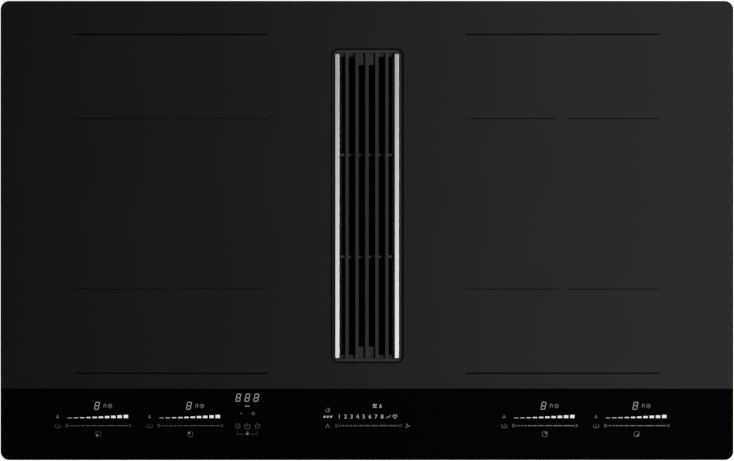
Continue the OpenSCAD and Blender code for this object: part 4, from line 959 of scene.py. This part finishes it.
class COOKTOP_OT_grille(Operator):
    """Finishes the grille and the filter's rim under it"""

    bl_idname = "cooktop.grille"
    bl_label = "Grille"

    def execute(self, context):
        dress(powder_coat(context.scene.cooktop_grille), "grille_casting", "filter_frame")
        return {"FINISHED"}


class COOKTOP_OT_rails(Operator):
    """Makes the two bright rails with their rounded edges, loose in the seats of the grille"""

    bl_idname = "cooktop.rails"
    bl_label = "Bright rails"

    corner_steps = 4

    def execute(self, context):
        settings = context.scene.cooktop_grille
        metal = brushed_rail(settings)
        for side in ("left", "right"):
            node = f"grille_rail_{side}"
            dress(metal, node)
            low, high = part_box(node)
            gaps = [settings.rail_outer, settings.rail_inner]
            if side == "right":
                gaps.reverse()
            across = (low.x + gaps[0], high.x - gaps[1])
            along = (low.y + settings.rail_front, high.y - settings.rail_rear)
            self.rail(side, across, along, (low.z, high.z), settings.rail_round, metal.material, node)
        return {"FINISHED"}

    def rail(self, side, across, along, upright, radius, material, node):
        """A bar with its upper edges and its ends rounded over."""
        mesh = bmesh.new()
        steps = self.corner_steps
        corner = around(radius, radius, radius, 180.0, 90.0 / steps, steps + 1)
        places = [(along[0] + inset, drop) for inset, drop in corner]
        places += [(along[1] - inset, drop) for inset, drop in reversed(corner)]
        skin(mesh, [self.ring(mesh, y, drop, across, upright, radius) for y, drop in places])
        bmesh.ops.recalc_face_normals(mesh, faces=mesh.faces)
        piece = placed(f"rail_{side}", mesh, material)
        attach(piece, "grille")
        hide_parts(node)

    def ring(self, mesh, y, drop, across, upright, radius):
        """The outline of a rail's section, made smaller by a drop where an end is rounded."""
        x0, x1 = across[0] + drop, across[1] - drop
        foot, top = upright[0], upright[1] - drop
        points = [(x0, foot), (x1, foot)]
        steps = self.corner_steps
        for middle, start in ((x1 - radius, 0.0), (x0 + radius, 90.0)):
            points += around(middle, top - radius, radius, start, 90.0 / steps, steps + 1)
        return [mesh.verts.new((x, y, z)) for x, z in points]


class COOKTOP_OT_filter(Operator):
    """Finishes the grease filter and weaves its wire panels"""

    bl_idname = "cooktop.filter"
    bl_label = "Grease filter"

    # Width of the panel's rim and shortest wire in millimetres, gap between the layers in wires
    rim_width = 2.5
    shortest = 1.5
    layer_gap = 0.9
    wire_sides = 8

    def execute(self, context):
        settings = context.scene.cooktop_grille
        metal = filter_aluminium(settings)
        dress(metal, "filter_mesh_left", "filter_mesh_right")
        for side in ("left", "right"):
            self.weave(side, settings, metal)
        return {"FINISHED"}

    def weave(self, side, settings, metal):
        """Two layers of crossing wires, cut to the panel's outline."""
        low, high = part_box(f"filter_mesh_{side}")
        rim = self.rim_width * MM
        y0, y1 = low.y + rim, high.y - rim
        z0, z1 = low.z + rim, high.z - rim
        middle = (low.x + high.x) / 2
        mesh = bmesh.new()
        step = settings.wire_pitch * math.sqrt(2)
        for slope in (1, -1):
            x = middle - slope * self.layer_gap * settings.wire / 2
            reach = z1 - z0
            start = y0 - reach if slope > 0 else y0
            count = int((y1 - y0 + reach) / step)
            for index in range(1, count + 1):
                foot = start + index * step
                ends = self.clip(foot, slope, y0, y1, z0, z1)
                if ends:
                    self.wire(mesh, x, ends, settings.wire)
        piece = placed(f"filter_wire_{side}", mesh, metal.material)
        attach(piece, "filter")

    def clip(self, foot, slope, y0, y1, z0, z1):
        """Ends of a wire that starts at a foot on the lower edge and leans along Y."""
        near, far = sorted((slope * (y0 - foot), slope * (y1 - foot)))
        start = max(0.0, near)
        stop = min(z1 - z0, far)
        if stop - start < self.shortest * MM:
            return None
        return ((foot + slope * start, z0 + start), (foot + slope * stop, z0 + stop))

    def wire(self, mesh, x, ends, thick):
        """A wire laid between two points of the panel."""
        (y0, z0), (y1, z1) = ends
        along = Vector((0, y1 - y0, z1 - z0)).normalized()
        side = Vector((0, -along.z, along.y))
        out = Vector((1, 0, 0))
        section = around(0.0, 0.0, thick / 2, 0.0, 360.0 / self.wire_sides, self.wire_sides)
        skin(mesh, [
            [mesh.verts.new(Vector((x, y, z)) + side * over + out * up) for over, up in section]
            for y, z in ends
        ])


class COOKTOP_OT_casing(Operator):
    """Finishes the sheet-steel casing, its springs, screws and gland"""

    bl_idname = "cooktop.casing"
    bl_label = "Casing"

    def execute(self, context):
        settings = context.scene.cooktop_casing
        dress_slots(
            (galvanised(settings), "sheet_steel"),
            (plated("spring_steel", (0.42, 0.42, 0.43), 0.3), "spring_steel"),
            (plated("zinc_plated_screws", (0.62, 0.62, 0.60), 0.3), "zinc_screws"),
        )
        return {"FINISHED"}


class COOKTOP_OT_coils(Operator):
    """Finishes the induction coils and what carries them"""

    bl_idname = "cooktop.coils"
    bl_label = "Coils"

    def execute(self, context):
        settings = context.scene.cooktop_casing
        dress_slots(
            (mica_sheet(), "mica"),
            (litz(settings), "litz"),
            (pressed_board(), "coil_board"),
            (ferrite(), "ferrite"),
            (rolled_aluminium("coil_plate_aluminium", "X"), "plate_aluminium"),
        )
        return {"FINISHED"}


class COOKTOP_OT_electronics(Operator):
    """Finishes the boards, heat sinks, light boxes and the terminal block"""

    bl_idname = "cooktop.electronics"
    bl_label = "Electronics"

    def execute(self, context):
        settings = context.scene.cooktop_casing
        dress_slots(
            (circuit_board(settings), "board_green"),
            (rolled_aluminium("extruded_heat_sink", "X"), "sink_aluminium"),
            (moulded("white_plastic", settings.white_plastic, 0.42), "white_plastic"),
        )
        return {"FINISHED"}


class COOKTOP_OT_extractor(Operator):
    """Finishes the extractor's casing, its fan, motor, duct and collector"""

    bl_idname = "cooktop.extractor"
    bl_label = "Extractor"

    def execute(self, context):
        settings = context.scene.cooktop_casing
        dress(moulded("black_plastic", settings.plastic, 0.48), *in_slot("black_plastic"))
        # The collar's darker colour is painted shade in the gap round the grille
        dress(moulded("collar_plastic_painted_shade", settings.collar, 0.6), "intake_collar")
        dress_slots(
            (moulded("dark_plastic", settings.inner_plastic, 0.42), "dark_plastic"),
            (moulded("flap_plastic", (0.10, 0.10, 0.105), 0.45), "flap_plastic"),
            (laminations(), "stator_iron"),
            (plated("bright_steel", (0.66, 0.66, 0.67), 0.22), "bright_steel"),
            (plated("rotor_steel", (0.50, 0.50, 0.52), 0.35), "rotor_steel"),
            (magnet(), "magnet"),
        )
        return {"FINISHED"}


class COOKTOP_OT_stage(Operator):
    """Sets up the pale floor, the studio light and the camera above the glass"""

    bl_idname = "cooktop.stage"
    bl_label = "Stage"

    # Half the floor's width in metres, its grey and its glow where the camera sees it
    floor_half = 12.0
    floor_grey = 0.35
    floor_glow = 0.8
    # Heights on the studio's wall where it is white, grey and as dark as the ceiling
    wall_stops = (0.12, 0.34, 0.72)
    wall_grey = 0.2
    # Share of the studio's light that falls on the object
    studio_share = 0.5
    # Places and sizes of the lamps in metres, their tilts in degrees
    key_size = (0.12, 3.0)
    key_tilt = 4.0
    gleam_spot = (0.06, -0.53)
    gleam_size = (0.3, 1.2)
    edge_spot = (1.4, -0.3, 0.4)
    edge_size = (0.3, 1.3)
    edge_tilt = 70.0
    edge_share = 5

    def execute(self, context):
        settings = context.scene.cooktop_studio
        context.scene.view_settings.view_transform = "Standard"
        self.floor(settings)
        self.studio(context, settings)
        self.lamps(context, settings)
        self.camera(context, settings)
        return {"FINISHED"}

    def seen_rays(self, tree):
        """1 for the rays that see a surface straight, in gloss or through glass, and 0 for the rest."""
        path = tree.add("ShaderNodeLightPath").outputs
        seen = path["Is Camera Ray"]
        for name in ("Is Glossy Ray", "Is Transmission Ray"):
            seen = tree.add("ShaderNodeMath", {0: seen, 1: path[name]}, operation="MAXIMUM").outputs["Value"]
        return seen

    def floor(self, settings):
        """A pale floor under the collector's lowest place, white to the camera where nothing shades it."""
        material = bpy.data.materials.new("pale_floor")
        material.use_nodes = True
        tree = Nodes(material.node_tree)
        tree.nodes.clear()
        white = (1.0, 1.0, 1.0, 1.0)
        grey = (self.floor_grey, self.floor_grey, self.floor_grey, 1.0)
        matt = tree.add("ShaderNodeBsdfDiffuse", {"Color": (*settings.floor, 1.0)})
        shaded = tree.add("ShaderNodeBsdfDiffuse", {"Color": grey})
        glow = tree.add("ShaderNodeEmission", {"Color": white, "Strength": self.floor_glow})
        seen = tree.add("ShaderNodeAddShader", {0: shaded.outputs[0], 1: glow.outputs[0]})
        both = {0: self.seen_rays(tree), 1: matt.outputs[0], 2: seen.outputs[0]}
        blend = tree.add("ShaderNodeMixShader", both)
        tree.add("ShaderNodeOutputMaterial", {"Surface": blend.outputs[0]})
        mesh = bmesh.new()
        bmesh.ops.create_grid(mesh, x_segments=4, y_segments=4, size=self.floor_half)
        floor = placed("studio_floor", mesh, material)
        floor.location.z = cad_bounds[0][2] - settings.floor_gap

    def studio(self, context, settings):
        """White walls that darken towards the ceiling."""
        world = bpy.data.worlds.new("studio")
        world.use_nodes = True
        context.scene.world = world
        tree = Nodes(world.node_tree)
        place = tree.add("ShaderNodeTexCoord").outputs["Generated"]
        split = tree.add("ShaderNodeSeparateXYZ", {"Vector": place})
        ramp = tree.add("ShaderNodeValToRGB", {"Fac": split.outputs["Z"]})
        share = {"Value": self.seen_rays(tree), "To Min": self.studio_share, "To Max": 1.0}
        strength = tree.add("ShaderNodeMapRange", share)
        background = tree.nodes["Background"].inputs
        tree.links.new(ramp.outputs["Color"], background["Color"])
        tree.links.new(strength.outputs["Result"], background["Strength"])
        low, middle, high = self.wall_stops
        stops = ramp.color_ramp.elements
        stops[0].position = low
        stops[0].color = (*settings.horizon, 1.0)
        stops[1].position = high
        stops[1].color = (*settings.ceiling, 1.0)
        wall = stops.new(middle)
        wall.color = (*(part * self.wall_grey for part in settings.horizon), 1.0)

    def lamp(self, context, name, place, size, power, glossy, tilt=0.0):
        """A lamp that lights either what is matt or what is glossy, tilted about Y."""
        light = bpy.data.lights.new(name, type="AREA")
        light.shape = "RECTANGLE"
        light.size, light.size_y = size
        light.energy = power
        lamp = bpy.data.objects.new(name, light)
        lamp.location = place
        lamp.rotation_euler = (0.0, math.radians(tilt), 0.0)
        lamp.visible_camera = False
        lamp.visible_diffuse = not glossy
        lamp.visible_glossy = glossy
        context.scene.collection.objects.link(lamp)
        return lamp

    def lamps(self, context, settings):
        """A long strip to the right lights the plate, and its twin gives the metal its gleam."""
        height = GLASS_HIGH.z + settings.key_height
        self.lamp(context, "key_strip", (settings.key_x, 0.0, height), self.key_size, settings.key_power,
                  glossy=False, tilt=self.key_tilt)
        metal = bpy.data.collections.new("bright_metal")
        context.scene.collection.children.link(metal)
        for name in ("rail_left", "rail_right"):
            metal.objects.link(bpy.data.objects[name])
        gleam = self.lamp(context, "rail_strip", (*self.gleam_spot, height), self.gleam_size,
                          settings.rail_power, glossy=True)
        edge = self.lamp(context, "edge_strip", self.edge_spot, self.edge_size,
                         settings.rail_power * self.edge_share, glossy=True, tilt=self.edge_tilt)
        for lamp in (gleam, edge):
            lamp.light_linking.receiver_collection = metal

    def camera(self, context, settings):
        """Looks straight down through a long lens."""
        data = bpy.data.cameras.new("overhead_camera")
        data.sensor_width = 36.0
        data.lens = data.sensor_width * settings.camera_height / settings.view_width
        data.clip_end = 100.0
        camera = bpy.data.objects.new("overhead_camera", data)
        camera.location = (0.0, 0.0, GLASS_HIGH.z + settings.camera_height)
        context.scene.collection.objects.link(camera)
        context.scene.camera = camera


STEPS = (
    COOKTOP_OT_glass, COOKTOP_OT_zone_lines, COOKTOP_OT_sliders, COOKTOP_OT_timer,
    COOKTOP_OT_fan_controls, COOKTOP_OT_grille, COOKTOP_OT_rails, COOKTOP_OT_filter, COOKTOP_OT_casing,
    COOKTOP_OT_coils, COOKTOP_OT_electronics, COOKTOP_OT_extractor, COOKTOP_OT_stage,
)


class COOKTOP_PT_steps(Panel):
    """Lists the pieces and their settings"""

    bl_idname = "COOKTOP_PT_steps"
    bl_label = "Downdraft cooktop"
    bl_space_type = "VIEW_3D"
    bl_region_type = "UI"
    bl_category = "Cooktop"

    def draw(self, context):
        for step in STEPS:
            self.layout.operator(step.bl_idname)
        for name in SETTINGS:
            box = self.layout.box()
            settings = getattr(context.scene, name)
            for key in settings.__annotations__:
                box.prop(settings, key)


CLASSES = (*SETTINGS.values(), *STEPS, COOKTOP_PT_steps)


def register():
    for item in CLASSES:
        bpy.utils.register_class(item)
    for name, group in SETTINGS.items():
        setattr(bpy.types.Scene, name, PointerProperty(type=group))


def unregister():
    for name in SETTINGS:
        delattr(bpy.types.Scene, name)
    for item in reversed(CLASSES):
        bpy.utils.unregister_class(item)


def main():
    register()
    for step in STEPS:
        group, action = step.bl_idname.split(".")
        getattr(getattr(bpy.ops, group), action)()


if __name__ == "__main__":
    main()
